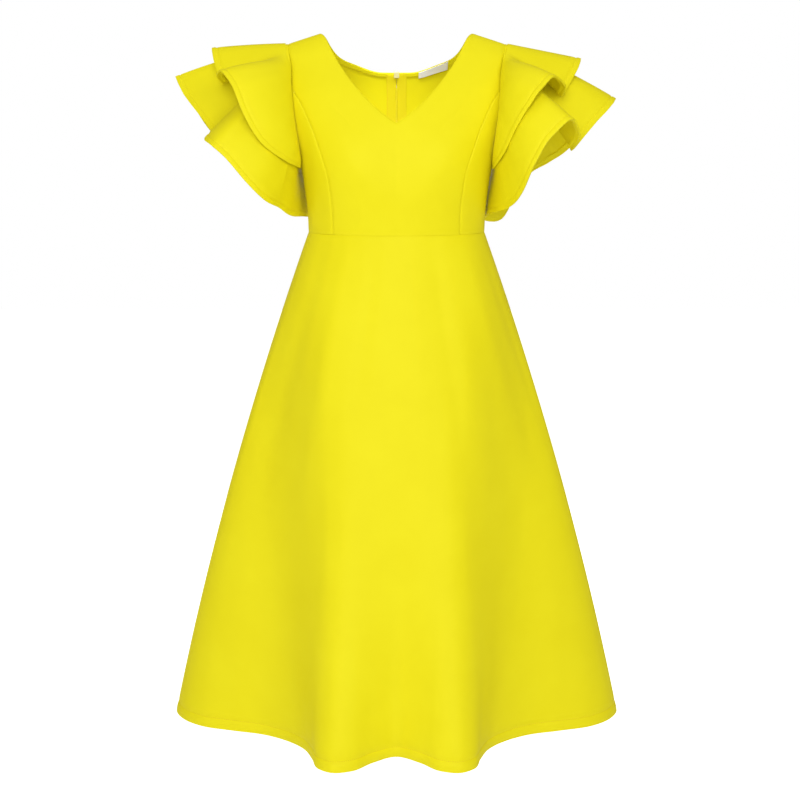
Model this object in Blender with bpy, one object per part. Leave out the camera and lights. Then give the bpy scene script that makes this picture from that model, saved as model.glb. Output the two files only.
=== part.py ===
"""A knee-covering cocktail dress in one bright yellow knit, filled out with no wearer.

Metres, +Z up, the front faces -Y and +X is the viewer's right. The origin is the middle
of the shoulder line, where the dress hangs. Every cloth piece is a thin wall: a surface
worked out from the tables below, given its thickness along its own normals. Pieces that
are sewn together stay SEAM apart, along the same stations, so their edges run side by side.
"""
import math

import bpy
import numpy as np
from mathutils import Matrix, Vector

# ---------------------------------------------------------------- driving sizes
WALL = 0.0016            # the knit's thickness
SEAM = 0.0003            # between two pieces that are sewn together
WAIST_Z = -0.291         # the waist seam, under the shoulder line
HEM_Z = -1.051           # the hem
SHOULDER_POINT = 0.1147  # half of the neck's width, at the top of the shoulder
SHOULDER_RISE = 0.0045   # how far the neck end of the shoulder stands over the origin
SHOULDER_SLOPE = 0.32    # fall of the shoulder seam towards the sleeve
SHOULDER_FADE = 0.060    # distance over which the body forgets that slope
BUST_FULLNESS = 0.013    # depth that the princess seams add over each cup
BUST_X = 0.080
BUST_Z = -0.190
BUST_WIDE = 0.052
BUST_HIGH = 0.055
SKIRT_SWELL = 0.26       # how much fuller the skirt is at mid length than a plain cone
FOLDS_FULL = 0.35        # share of the way down where the folds are fully formed
HEM_REACH = 4.0          # how closely the hem's own waves keep to the hem
TIER_START = 0.018       # how far out on the lower tier the upper one is laid

NECK_BAND_THICK = 0.0010 # turned edge inside the back neck
TAPE_THICK = 0.0008      # the zip's two tapes, inside the centre back
TAPE_DROP = 0.0007       # they end this far under the neck's edge
ZIP_END_Z = -0.455       # the zip stops on the hip
LABEL_THICK = 0.0006     # the blank label inside the back neck

# The slider hangs over the back neck's edge. These sizes are in its own frame: across, out
# from the back, and up along it, with 0 on the cloth's outer face at the neck's edge.
SLIDER_WIDE = 0.0080
SLIDER_LEG = 0.0065      # the inner leg, below the edge
SLIDER_LEG_THICK = 0.0022
SLIDER_TONGUE = 0.0060   # the outer leg
SLIDER_TONGUE_THICK = 0.0014
SLIDER_CLEAR = 0.0005    # between the slider and the cloth or tapes
SLIDER_OVER = 0.0010     # free height over the edge
SLIDER_BRIDGE = 0.0020
PIN_RADIUS = 0.0005
PIN_OUT = 0.0040         # the pin's axis, out from the cloth
PIN_UP = -0.0015
LUG_THICK = 0.0009
LUG_RADIUS = 0.0011
PULL_EYE = 0.0008        # radius of the pull's eye, and of the barrel round it
PULL_BARREL = 0.0016
PULL_WIDE = 0.0036
PULL_THICK = 0.0011
PULL_GAP = 0.0003        # at each side, between the barrel and a lug
PULL_LEAN = 8.0          # degrees, how much the pull leans in to lie on the cloth
PULL_SHAPE = (           # down from the pin, half width
    (-0.0000, 0.0018),
    (-0.0040, 0.0016),
    (-0.0175, 0.0028),
    (-0.0200, 0.0026),
    (-0.0212, 0.0018),
    (-0.0215, 0.0009),
)
ROUND_STEPS = 16         # sides of the pin, the eye and the barrel

YELLOW = (0.90, 0.80, 0.01, 1.0)
TAPE_YELLOW = (0.92, 0.80, 0.05, 1.0)
METAL_YELLOW = (0.90, 0.84, 0.30, 1.0)
LABEL_WHITE = (0.90, 0.88, 0.86, 1.0)

# The body that the bodice is cut for, from the shoulder line down to the waist seam.
# Each row is one level: its height, half width, depth in front, depth behind, squareness.
BODY_LEVELS = (
    # z      half    front   back    square
    (0.000, 0.1750, 0.0000, 0.0000, 2.50),
    (-0.004, 0.1750, 0.0150, 0.0170, 2.50),
    (-0.017, 0.1755, 0.0310, 0.0350, 2.50),
    (-0.045, 0.1760, 0.0520, 0.0590, 2.50),
    (-0.078, 0.1770, 0.0750, 0.0780, 2.50),
    (-0.110, 0.1740, 0.0900, 0.0900, 2.50),
    (-0.140, 0.1640, 0.1010, 0.0970, 2.40),
    (-0.170, 0.1520, 0.1080, 0.1010, 2.30),
    (-0.200, 0.1430, 0.1110, 0.1020, 2.20),
    (-0.230, 0.1385, 0.1110, 0.1000, 2.10),
    (-0.260, 0.1350, 0.1080, 0.0970, 2.03),
    (WAIST_Z, 0.1337, 0.1050, 0.0950, 2.00),
)

# Seams and edges on that body: turn is the angle from the side (0) to the centre (90).
NECK_FRONT = (
    # turn   z
    (90.0, -0.1270),
    (87.0, -0.1165),
    (75.5, -0.0757),
    (66.4, -0.0405),
    (61.3, -0.0200),
    (53.9, 0.0000),
)
NECK_BACK = (
    (90.0, -0.0510),
    (83.5, -0.0497),
    (74.9, -0.0402),
    (64.8, -0.0277),
    (53.9, 0.0000),
)
PRINCESS = (
    (45.0, WAIST_Z),
    (46.0, -0.2365),
    (46.2, -0.2050),
    (45.2, -0.1700),
    (45.0, -0.1310),
    (40.8, -0.0985),
    (32.6, -0.0790),
)
# The armhole, from the shoulder tip to the underarm.
ARMHOLE_FRONT = (
    (23.8, 0.0000),
    (26.6, -0.0200),
    (30.7, -0.0450),
    (32.6, -0.0790),
    (32.4, -0.1100),
    (27.9, -0.1400),
    (17.4, -0.1750),
    (0.0, -0.1950),
)
ARMHOLE_BACK = (
    (23.8, 0.0000),
    (26.0, -0.0210),
    (29.2, -0.0470),
    (30.6, -0.0820),
    (30.0, -0.1130),
    (26.0, -0.1430),
    (16.4, -0.1765),
    (0.0, -0.1950),
)

# The hem seen from above, from the centre to the side seam. Each row is a crest, a trough
# or the flank between them.
HEM_FRONT = (
    # x      y
    (0.0000, -0.2050),
    (0.0340, -0.2290),
    (0.0640, -0.2620),
    (0.0920, -0.2690),
    (0.1130, -0.2530),
    (0.1240, -0.2140),
    (0.1380, -0.1740),
    (0.1650, -0.1400),
    (0.2020, -0.1130),
    (0.2520, -0.0950),
    (0.3030, -0.0740),
    (0.3340, -0.0430),
    (0.3510, 0.0050),
)
HEM_BACK_RIGHT = (
    (0.0000, 0.2080),
    (0.0420, 0.2330),
    (0.0820, 0.2620),
    (0.1180, 0.2500),
    (0.1360, 0.2080),
    (0.1620, 0.1640),
    (0.2050, 0.1360),
    (0.2560, 0.1230),
    (0.3040, 0.1020),
    (0.3380, 0.0600),
    (0.3510, 0.0050),
)
HEM_BACK_LEFT = (
    (0.0000, 0.2080),
    (0.0360, 0.2260),
    (0.0760, 0.2550),
    (0.1100, 0.2620),
    (0.1360, 0.2300),
    (0.1540, 0.1820),
    (0.1900, 0.1430),
    (0.2420, 0.1240),
    (0.2960, 0.1060),
    (0.3350, 0.0640),
    (0.3510, 0.0050),
)
HEM_PLAIN_FRONT = 0.232  # depth of the unfolded hem, in front and behind
HEM_PLAIN_BACK = 0.228
# Half way down, the folds hang straight: how far the cloth lies behind the middle of the
# front, by its distance from the dress's middle line. Behind, the folds are shallower.
FOLD_BACK = 0.72
FOLD_LINES = (
    (0.000, 0.000),
    (0.050, 0.003),
    (0.088, 0.011),
    (0.104, 0.019),
    (0.128, 0.041),
    (0.152, 0.069),
    (0.176, 0.096),
    (0.200, 0.117),
    (0.223, 0.129),
    (0.247, 0.139),
    (0.272, 0.151),
    (0.298, 0.168),
    (0.351, 0.215),
)

# Hems of the flounces. round runs from the underarm behind (-1) over the shoulder tip (0)
# to the underarm in front (1); arch is how far the cloth stands out at half its width.
# out is the distance from the middle of the dress.
LOWER_RIGHT = (
    # round   out     y       z      arch
    (-1.00, 0.1372, 0.0000, -0.2650, 0.001),
    (-0.90, 0.1345, 0.0390, -0.2760, 0.002),
    (-0.80, 0.1640, 0.0640, -0.2740, 0.003),
    (-0.72, 0.1860, 0.0930, -0.2380, 0.006),
    (-0.62, 0.2060, 0.1140, -0.2110, 0.009),
    (-0.46, 0.2400, 0.1310, -0.1900, 0.010),
    (-0.30, 0.2690, 0.1270, -0.1700, 0.008),
    (-0.18, 0.2870, 0.0920, -0.1480, 0.004),
    (-0.09, 0.3060, 0.0620, -0.1200, 0.004),
    (-0.04, 0.3255, 0.0420, -0.0980, 0.004),
    (0.00, 0.3329, 0.0200, -0.0911, 0.004),
    (0.025, 0.3235, -0.0015, -0.1025, 0.003),
    (0.055, 0.2990, -0.0180, -0.1270, 0.002),
    (0.095, 0.2610, -0.0560, -0.1680, 0.002),
    (0.135, 0.2680, -0.0940, -0.1480, 0.006),
    (0.18, 0.2570, -0.1300, -0.1235, 0.012),
    (0.27, 0.2250, -0.1480, -0.1430, 0.016),
    (0.40, 0.2000, -0.1460, -0.1815, 0.014),
    (0.58, 0.1810, -0.1180, -0.2280, 0.007),
    (0.76, 0.1660, -0.0820, -0.2500, 0.003),
    (0.90, 0.1500, -0.0420, -0.2590, 0.002),
    (1.00, 0.1372, 0.0000, -0.2650, 0.001),
)
LOWER_LEFT = (
    (-1.00, 0.1430, 0.0000, -0.2680, 0.001),
    (-0.90, 0.1345, 0.0420, -0.2700, 0.002),
    (-0.78, 0.1600, 0.0760, -0.2600, 0.005),
    (-0.62, 0.2030, 0.1120, -0.2150, 0.009),
    (-0.46, 0.2410, 0.1270, -0.1870, 0.010),
    (-0.30, 0.2740, 0.1170, -0.1560, 0.008),
    (-0.18, 0.2950, 0.0860, -0.1330, 0.004),
    (-0.09, 0.3130, 0.0560, -0.1000, 0.004),
    (-0.04, 0.3295, 0.0390, -0.0690, 0.004),
    (0.00, 0.3347, 0.0200, -0.0582, 0.004),
    (0.035, 0.3200, -0.0030, -0.0850, 0.002),
    (0.07, 0.2960, -0.0290, -0.1130, 0.002),
    (0.11, 0.2740, -0.0560, -0.1400, 0.002),
    (0.145, 0.2800, -0.0950, -0.1500, 0.006),
    (0.185, 0.2700, -0.1240, -0.1560, 0.010),
    (0.27, 0.2480, -0.1350, -0.1740, 0.012),
    (0.40, 0.2170, -0.1360, -0.2100, 0.012),
    (0.58, 0.1890, -0.1180, -0.2393, 0.006),
    (0.76, 0.1710, -0.0800, -0.2520, 0.003),
    (0.90, 0.1560, -0.0400, -0.2655, 0.002),
    (1.00, 0.1430, 0.0000, -0.2680, 0.001),
)
UPPER_RIGHT = (
    (-0.93, 0.1430, 0.0240, -0.1980, 0.001),
    (-0.80, 0.1490, 0.0640, -0.1900, 0.004),
    (-0.64, 0.1720, 0.0980, -0.1680, 0.007),
    (-0.48, 0.1920, 0.1180, -0.1350, 0.008),
    (-0.36, 0.2150, 0.1180, -0.1050, 0.008),
    (-0.24, 0.2380, 0.0960, -0.0860, 0.006),
    (-0.14, 0.2500, 0.0660, -0.0760, 0.004),
    (-0.07, 0.2640, 0.0440, -0.0520, 0.003),
    (-0.03, 0.2755, 0.0320, -0.0375, 0.001),
    (0.00, 0.2787, 0.0180, -0.0317, 0.000),
    (0.022, 0.2750, 0.0040, -0.0425, 0.001),
    (0.05, 0.2640, -0.0080, -0.0620, 0.003),
    (0.09, 0.2470, -0.0340, -0.0870, 0.003),
    (0.13, 0.2490, -0.0640, -0.0740, 0.006),
    (0.17, 0.2330, -0.0980, -0.0610, 0.012),
    (0.25, 0.2110, -0.1230, -0.0760, 0.016),
    (0.37, 0.1920, -0.1290, -0.1010, 0.014),
    (0.51, 0.1735, -0.1220, -0.1320, 0.010),
    (0.68, 0.1565, -0.0940, -0.1720, 0.006),
    (0.82, 0.1470, -0.0580, -0.1905, 0.003),
    (0.93, 0.1435, -0.0270, -0.1975, 0.001),
)
UPPER_LEFT = (
    (-0.93, 0.1420, 0.0240, -0.1980, 0.001),
    (-0.80, 0.1470, 0.0640, -0.1920, 0.004),
    (-0.64, 0.1690, 0.0960, -0.1700, 0.007),
    (-0.48, 0.1980, 0.1160, -0.1330, 0.008),
    (-0.36, 0.2230, 0.1120, -0.0990, 0.008),
    (-0.24, 0.2450, 0.0900, -0.0760, 0.006),
    (-0.14, 0.2560, 0.0620, -0.0610, 0.004),
    (-0.07, 0.2680, 0.0420, -0.0370, 0.003),
    (-0.03, 0.2765, 0.0320, -0.0215, 0.002),
    (0.00, 0.2789, 0.0200, -0.0157, 0.001),
    (0.045, 0.2720, -0.0040, -0.0430, 0.002),
    (0.09, 0.2590, -0.0320, -0.0680, 0.003),
    (0.13, 0.2640, -0.0620, -0.0590, 0.006),
    (0.17, 0.2570, -0.0900, -0.0520, 0.010),
    (0.25, 0.2390, -0.1120, -0.0700, 0.014),
    (0.37, 0.2200, -0.1260, -0.1130, 0.014),
    (0.51, 0.1960, -0.1240, -0.1540, 0.014),
    (0.68, 0.1600, -0.0940, -0.1835, 0.007),
    (0.82, 0.1465, -0.0580, -0.1915, 0.004),
    (0.93, 0.1440, -0.0270, -0.1950, 0.001),
)
LAP_FROM = 0.10          # round the armhole, where the lower tier starts to lie on the bodice
LAP_FULL = 0.36

# ---------------------------------------------------------------- stations
# Where the walls are divided. Pieces that meet share the stations along their seam.
EDGE_STEPS = 60
ROWS_PRINCESS = 9
ROWS_SIDE = 6
ROWS_HIGH = 10           # of the front armhole, over the princess seam
ROWS_LOW = 7
ROWS_BACK = 13
PRINCESS_SHARE = 0.68    # of the centre front's side edge, as its rows count
SIDE_SHARE = 0.30        # of the back's side edge
NECK_SHARE = 0.78        # of the top edge that is neckline, the rest being shoulder seam
CROWD = 1.3              # stations lie closer over the shoulder, where folds are tightest
SHOULDER_STATIONS = (0.853, 0.927, 1.0)
FRONT_STATIONS = tuple(np.linspace(0.0, NECK_SHARE, 8)) + SHOULDER_STATIONS
TAPE_FROM = 0.0015       # the tapes' edges, as shares of the back's width
TAPE_TO = 0.075
BAND_FROM = 0.077
LABEL_STATIONS = (0.170, 0.250, 0.330, 0.415)
NECK_STATIONS = LABEL_STATIONS + (0.490, 0.580, 0.680, NECK_SHARE)
BACK_STATIONS = (0.0, TAPE_TO) + NECK_STATIONS + SHOULDER_STATIONS
SKIRT_ROWS = np.linspace(0.0, 1.0, 12)
SKIRT_FRONT_STEPS = 19
SKIRT_BACK_STEPS = 18
LOWER_ROWS = np.array([0.0, TIER_START, 0.18, 0.38, 0.59, 0.80, 1.0])
UPPER_ROWS = np.array([0.0, 0.12, 0.32, 0.54, 0.77, 1.0])


# ---------------------------------------------------------------- curves
def through(keys, values, at):
    """A smooth curve through the rows of a table, read at any place between them."""
    keys = np.asarray(keys, float)
    values = np.asarray(values, float)
    at = np.asarray(at, float)
    slopes = np.gradient(values, keys, axis=0)
    low = np.clip(np.searchsorted(keys, at) - 1, 0, len(keys) - 2)
    step = keys[low + 1] - keys[low]
    part = (at - keys[low]) / step
    shape = part.shape + (1,) * (values.ndim - 1)
    part = part.reshape(shape)
    step = step.reshape(shape)
    first = values[low] * (1 + 2 * part) * (1 - part) ** 2
    second = values[low + 1] * part ** 2 * (3 - 2 * part)
    bend = slopes[low] * part * (1 - part) ** 2 - slopes[low + 1] * part ** 2 * (1 - part)
    return first + second + bend * step


def body_table():
    """The body's levels keyed by their distance down from the shoulder line."""
    levels = np.array(BODY_LEVELS)
    steps = np.hypot(np.diff(levels[:, 0]), np.diff(levels[:, 2]))
    down = np.concatenate([[0.0], np.cumsum(steps)])
    above = levels[1] * np.array([1, 1, -1, -1, 1])
    return np.concatenate([[-down[1]], down]), np.vstack([above, levels])


DOWN_KEYS, BODY = body_table()
DENSE_DOWN = np.linspace(0.0, DOWN_KEYS[-1], 600)
DENSE_Z = through(DOWN_KEYS, BODY[:, 0], DENSE_DOWN)
WAIST_DOWN = DOWN_KEYS[-1]


def down_at(z):
    """Distance from the shoulder line, down the front, of the level at height z."""
    return np.interp(-np.asarray(z, float), -DENSE_Z, DENSE_DOWN)


def signed_power(value, power):
    return np.sign(value) * np.abs(value) ** power


def body(turn, down, front, side):
    """A point of the bodice's outer surface."""
    z, half, ahead, behind, square = np.moveaxis(through(DOWN_KEYS, BODY, down), -1, 0)
    angle = np.radians(turn)
    across = signed_power(np.cos(angle), 2.0 / square)
    out = signed_power(np.sin(angle), 2.0 / square)
    x = half * across
    cup = np.exp(-((x - BUST_X) / BUST_WIDE) ** 2 - ((z - BUST_Z) / BUST_HIGH) ** 2)
    depth = ahead + BUST_FULLNESS * cup if front else behind
    y = (-depth if front else depth) * out
    rise = SHOULDER_RISE - SHOULDER_SLOPE * (x - SHOULDER_POINT)
    z = z + rise * np.clip(1.0 - (down / SHOULDER_FADE) ** 2, 0.0, 1.0) ** 2
    return np.stack([side * x, y, z], axis=-1)


def edge(table, front):
    """One seam or edge of the bodice as a curve of (turn, down), read by its length."""
    rows = np.array(table)
    places = np.stack([rows[:, 0], down_at(rows[:, 1])], axis=1)
    for _ in range(3):
        points = body(places[:, 0], places[:, 1], front, 1.0)
        steps = np.linalg.norm(np.diff(points, axis=0), axis=1)
        share = np.concatenate([[0.0], np.cumsum(steps)]) / steps.sum()
        places = through(share, places, np.linspace(0.0, 1.0, EDGE_STEPS))
    return lambda along: through(np.linspace(0.0, 1.0, EDGE_STEPS), places, along)


ARMHOLE = {True: edge(ARMHOLE_FRONT, True), False: edge(ARMHOLE_BACK, False)}
PRINCESS_SEAM = edge(PRINCESS, True)
PRINCESS_ROUND = float(np.argmin([
    abs(ARMHOLE[True](np.array(a))[1] - down_at(PRINCESS[-1][1]))
    for a in np.linspace(0.0, 1.0, 1001)])) / 1000


def coons(bottom, top, inner, outer):
    """A patch of (turn, down) between four edges, u from inner to outer, v up."""
    def patch(u, v):
        u1 = u[..., None]
        v1 = v[..., None]
        corner = [bottom(np.array(a)) for a in (0.0, 1.0)] + [top(np.array(a)) for a in (0.0, 1.0)]
        along = (1 - v1) * bottom(u) + v1 * top(u)
        across = (1 - u1) * inner(v) + u1 * outer(v)
        flat = (1 - v1) * ((1 - u1) * corner[0] + u1 * corner[1])
        flat = flat + v1 * ((1 - u1) * corner[2] + u1 * corner[3])
        return along + across - flat
    return patch


def joined(first, second, share):
    """Two edges end to end, the first up to share and the second after it."""
    def curve(along):
        along = np.asarray(along, float)
        early = first(np.clip(along / share, 0.0, 1.0))
        late = second(np.clip((along - share) / (1 - share), 0.0, 1.0))
        return np.where((along <= share)[..., None], early, late)
    return curve


def straight(start, end):
    start = np.array(start, float)
    end = np.array(end, float)
    return lambda along: start + (end - start) * np.asarray(along, float)[..., None]


def shoulder_line():
    neck = np.array([NECK_FRONT[-1][0], 0.0])
    tip = np.array([ARMHOLE_FRONT[0][0], 0.0])
    return straight(neck, tip)


def centre_front(side):
    """Half of the centre front panel: centre line to princess seam and armhole."""
    arm = ARMHOLE[True]
    top = joined(edge(NECK_FRONT, True), shoulder_line(), NECK_SHARE)
    outer = joined(PRINCESS_SEAM, lambda a: arm(PRINCESS_ROUND * (1 - a)), PRINCESS_SHARE)
    neck_down = float(down_at(NECK_FRONT[0][1]))
    inner = straight((90.0, WAIST_DOWN), (90.0, neck_down))
    bottom = straight((90.0, WAIST_DOWN), (PRINCESS[0][0], WAIST_DOWN))
    patch = coons(bottom, top, inner, outer)

    def surface(u, v):
        place = patch(u, v)
        return body(place[..., 0], place[..., 1], True, side)
    return surface


def whole_centre_front(u, v):
    """The centre front panel, u from -1 at the left princess seam to 1 at the right one."""
    points = centre_front(1.0)(np.abs(u), v)
    points[..., 0] *= np.where(u < 0, -1.0, 1.0)
    return points


def side_front(side):
    """Princess seam to side seam, from the waist up to the lower armhole."""
    arm = ARMHOLE[True]
    under = (0.0, float(down_at(ARMHOLE_FRONT[-1][1])))
    outer = straight((0.0, WAIST_DOWN), under)
    bottom = straight((PRINCESS[0][0], WAIST_DOWN), (0.0, WAIST_DOWN))
    top = lambda along: arm(PRINCESS_ROUND + (1 - PRINCESS_ROUND) * along)
    patch = coons(bottom, top, PRINCESS_SEAM, outer)

    def surface(u, v):
        place = patch(u, v)
        return body(place[..., 0], place[..., 1], True, side)
    return surface


def half_back(side):
    """Centre back to side seam and armhole, from the waist up to neck and shoulder."""
    arm = ARMHOLE[False]
    top = joined(edge(NECK_BACK, False), shoulder_line(), NECK_SHARE)
    under = (0.0, float(down_at(ARMHOLE_BACK[-1][1])))
    outer = joined(straight((0.0, WAIST_DOWN), under), lambda a: arm(1 - a), SIDE_SHARE)
    inner = straight((90.0, WAIST_DOWN), (90.0, float(down_at(NECK_BACK[0][1]))))
    bottom = straight((90.0, WAIST_DOWN), (0.0, WAIST_DOWN))
    patch = coons(bottom, top, inner, outer)

    def surface(u, v):
        place = patch(u, v)
        return body(place[..., 0], place[..., 1], False, side)
    return surface


ROUND_FRONT_HIGH = PRINCESS_ROUND * np.linspace(0.0, 1.0, ROWS_HIGH + 1) ** CROWD
ROUND_FRONT_LOW = np.linspace(PRINCESS_ROUND, 1.0, ROWS_LOW + 1)
ROUND_BACK = np.linspace(0.0, 1.0, ROWS_BACK + 1) ** CROWD
ROWS_UP_BACK = np.concatenate([
    np.linspace(0.0, SIDE_SHARE, ROWS_SIDE + 1),
    SIDE_SHARE + (1 - SIDE_SHARE) * (1 - ROUND_BACK[-2::-1])])


# ---------------------------------------------------------------- skirt
def by_length(dense):
    """A closely drawn plan curve, read by the share of its length."""
    length = np.concatenate([[0.0], np.cumsum(np.hypot(*np.diff(dense, axis=0).T))])
    share = length / length[-1]
    return lambda at: np.stack([np.interp(at, share, dense[:, i]) for i in (0, 1)], axis=-1)


def oval(half, ahead, y_side=0.0, count=200):
    """A quarter of an oval from its centre line to its side, read by length."""
    angle = np.linspace(0.0, math.pi / 2, count)
    y = y_side + (ahead - y_side) * np.cos(angle)
    return by_length(np.stack([half * np.sin(angle), y], axis=1))


def hem_curve(rows):
    """The folded hem of one quarter. Mirror rows past both ends keep its ends square."""
    rows = np.array(rows, float)
    before = rows[1] * [-1.0, 1.0]
    side_y = rows[-1][1]
    after = [rows[-2][0], 2 * side_y - rows[-2][1]]
    full = np.vstack([before, rows, after])
    chord = np.concatenate([[0.0], np.cumsum(np.hypot(*np.diff(full, axis=0).T))])
    return by_length(through(chord, full, np.linspace(chord[1], chord[-2], 600)))


FOLD_KEYS, FOLD_DEPTHS = np.array(FOLD_LINES).T


def skirt_quarter(rows, waist_depth, plain_depth, side, fold):
    """A quarter of the skirt: u from the centre to the side seam, v from waist to hem."""
    waist_half = BODY_LEVELS[-1][1]
    side_y = rows[-1][1]
    waist = oval(waist_half, waist_depth)
    plain = oval(rows[-1][0], plain_depth, side_y)
    folded = hem_curve(rows)

    def surface(u, v):
        down = v[..., None]
        out = down + SKIRT_SWELL * down * (1 - down)
        plan = waist(u) * (1 - out) + plain(u) * out
        out = out[..., 0]
        middle = waist_depth * (1 - out) + plain_depth * out
        side_edge = side_y * out
        half = waist_half * (1 - out) + rows[-1][0] * out
        behind = through(FOLD_KEYS, FOLD_DEPTHS, plan[..., 0]) * fold
        turn = np.sqrt(np.clip(1 - (plan[..., 0] / half) ** 10, 0.0, 1.0))
        hung = side_edge + (middle - behind - side_edge) * turn
        formed = np.clip(v / FOLDS_FULL, 0.0, 1.0)
        formed = formed * formed * (3 - 2 * formed)
        plan[..., 1] += (hung - plan[..., 1]) * formed
        straight_down = np.stack([plain(u)[..., 0], plan[..., 1]], axis=-1)
        plan = plan + (folded(u) - straight_down) * np.abs(down) ** HEM_REACH
        z = WAIST_Z + (HEM_Z - WAIST_Z) * v
        return np.stack([side * plan[..., 0], plan[..., 1], z], axis=-1)
    return surface


def skirt_front(u, v):
    """The whole front of the skirt, u from -1 at the left side seam to 1 at the right."""
    quarter = skirt_quarter(HEM_FRONT, -BODY_LEVELS[-1][2], -HEM_PLAIN_FRONT, 1.0, -1.0)
    points = quarter(np.abs(u), v)
    points[..., 0] *= np.where(u < 0, -1.0, 1.0)
    return points


def skirt_back(side):
    rows = HEM_BACK_RIGHT if side > 0 else HEM_BACK_LEFT
    return skirt_quarter(rows, BODY_LEVELS[-1][3], HEM_PLAIN_BACK, side, FOLD_BACK)


ZIP_ON_SKIRT = (ZIP_END_Z - WAIST_Z) / (HEM_Z - WAIST_Z)
ZIP_SHARE = 0.41         # of the tape's length that lies on the skirt


def zip_strip(side):
    """The centre back from the end of the zip, over the waist seam, up to the neck."""
    bodice = half_back(side)
    skirt = skirt_back(side)
    step = 0.01

    def surface(u, v):
        up = np.clip((v - ZIP_SHARE) / (1 - ZIP_SHARE), 0.0, 1.0)
        down = ZIP_ON_SKIRT * np.clip(1 - v / ZIP_SHARE, 0.0, 1.0)
        first = skirt(np.full_like(down, step), down) - skirt(np.zeros_like(down), down)
        reach = np.linalg.norm(first, axis=-1) / step
        across = BODY_LEVELS[-1][1] * np.sin(math.pi / 2 * u) / reach
        on_skirt = (v < ZIP_SHARE)[..., None]
        return np.where(on_skirt, skirt(across, down), bodice(u, up))
    return surface


# ---------------------------------------------------------------- flounces
def armhole_points(side, around):
    """The armhole edge, around from -1 (underarm, behind) over 0 to 1 (underarm)."""
    around = np.asarray(around, float)
    place = {front: ARMHOLE[front](np.abs(around)) for front in (True, False)}
    ahead = body(place[True][..., 0], place[True][..., 1], True, side)
    behind = body(place[False][..., 0], place[False][..., 1], False, side)
    return np.where((around >= 0)[..., None], ahead, behind)


def outside(side, around):
    """The bodice's outward normal along the armhole."""
    step = 1e-3
    halves = []
    for front in (False, True):
        place = ARMHOLE[front](np.abs(around))
        turn, down = place[..., 0], place[..., 1]
        fall = body(turn, down + step, front, side) - body(turn, down - step, front, side)
        round_ = body(turn + step, down, front, side) - body(turn - step, down, front, side)
        halves.append(np.cross(fall, round_) * (-side if front else side))
    out = np.where((around >= 0)[..., None], halves[1], halves[0])
    return out / np.linalg.norm(out, axis=-1, keepdims=True)


def unit(vectors):
    return vectors / np.linalg.norm(vectors, axis=-1, keepdims=True)


def hem_rows(table, side):
    """The hem of a flounce and its arch, at any place round the armhole."""
    rows = np.array(table, float)

    def curve(around):
        out, y, z, arch = np.moveaxis(through(rows[:, 0], rows[:, 1:], around), -1, 0)
        return np.stack([side * out, y, z], axis=-1), arch
    return curve


def flounce(hem_at, side, start):
    """A flounce from its start curve to its hem, arched outwards between the two."""
    step = 1e-3

    def surface(around, v):
        hem, arch = hem_at(around)
        root = start(around)
        v1 = v[..., None]
        away = unit(side * np.cross(start(around + step) - start(around - step), hem - root))
        swell = (4 * v * (1 - v) * arch)[..., None]
        return root + (hem - root) * v1 + away * swell
    return surface


def lower_flounce(side):
    """Its root meets the armhole's edge over the shoulder. Lower down the cloth turns back
    over the bodice, so there the root is lifted just clear of the bodice's outside."""
    hem = hem_rows(LOWER_RIGHT if side > 0 else LOWER_LEFT, side)
    step = 1e-3

    def start(around):
        seam = armhole_points(side, around)
        along = armhole_points(side, around + step) - armhole_points(side, around - step)
        face = unit(side * np.cross(along, hem(around)[0] - seam))
        out = outside(side, around)
        same = np.sum(face * out, axis=-1)
        lap = np.clip((np.abs(around) - LAP_FROM) / (LAP_FULL - LAP_FROM), 0.0, 1.0)
        under = WALL * np.clip(same, 0.0, 1.0) + (WALL + 2 * SEAM) * np.clip(-same, 0.0, 1.0)
        lift = (SEAM + under) * lap * lap * (3 - 2 * lap)
        return seam + out * lift[..., None]
    return flounce(hem, side, start)


def upper_flounce(side):
    """Laid on the lower tier: it starts on that tier's points moved out."""
    hem = hem_rows(UPPER_RIGHT if side > 0 else UPPER_LEFT, side)
    under = lower_flounce(side)

    def start(around):
        where = np.full_like(around, TIER_START)
        points, out = points_and_normals(under, around, where, side < 0)
        return points + out * (WALL + SEAM)
    return flounce(hem, side, start)


# ---------------------------------------------------------------- walls
def points_and_normals(surface, u, v, turned):
    """Points of a surface and its unit normals, the other way round when turned."""
    step = 1e-4
    points = surface(u, v)
    along = surface(u + step, v) - surface(u - step, v)
    up = surface(u, np.minimum(v + step, 1.0)) - surface(u, np.maximum(v - step, 0.0))
    normal = np.cross(along, up)
    normal = normal / np.linalg.norm(normal, axis=-1, keepdims=True)
    return points, -normal if turned else normal


def draw_in(layer, amount):
    """Pull the first row of a grid of points in, square to that edge."""
    line = layer[0]
    along = np.gradient(line, axis=0)
    along = along / np.linalg.norm(along, axis=-1, keepdims=True)
    inward = layer[1] - line
    inward = inward - along * np.sum(inward * along, axis=-1, keepdims=True)
    inward = inward / np.linalg.norm(inward, axis=-1, keepdims=True)
    layer[0] = line + inward * amount


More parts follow.
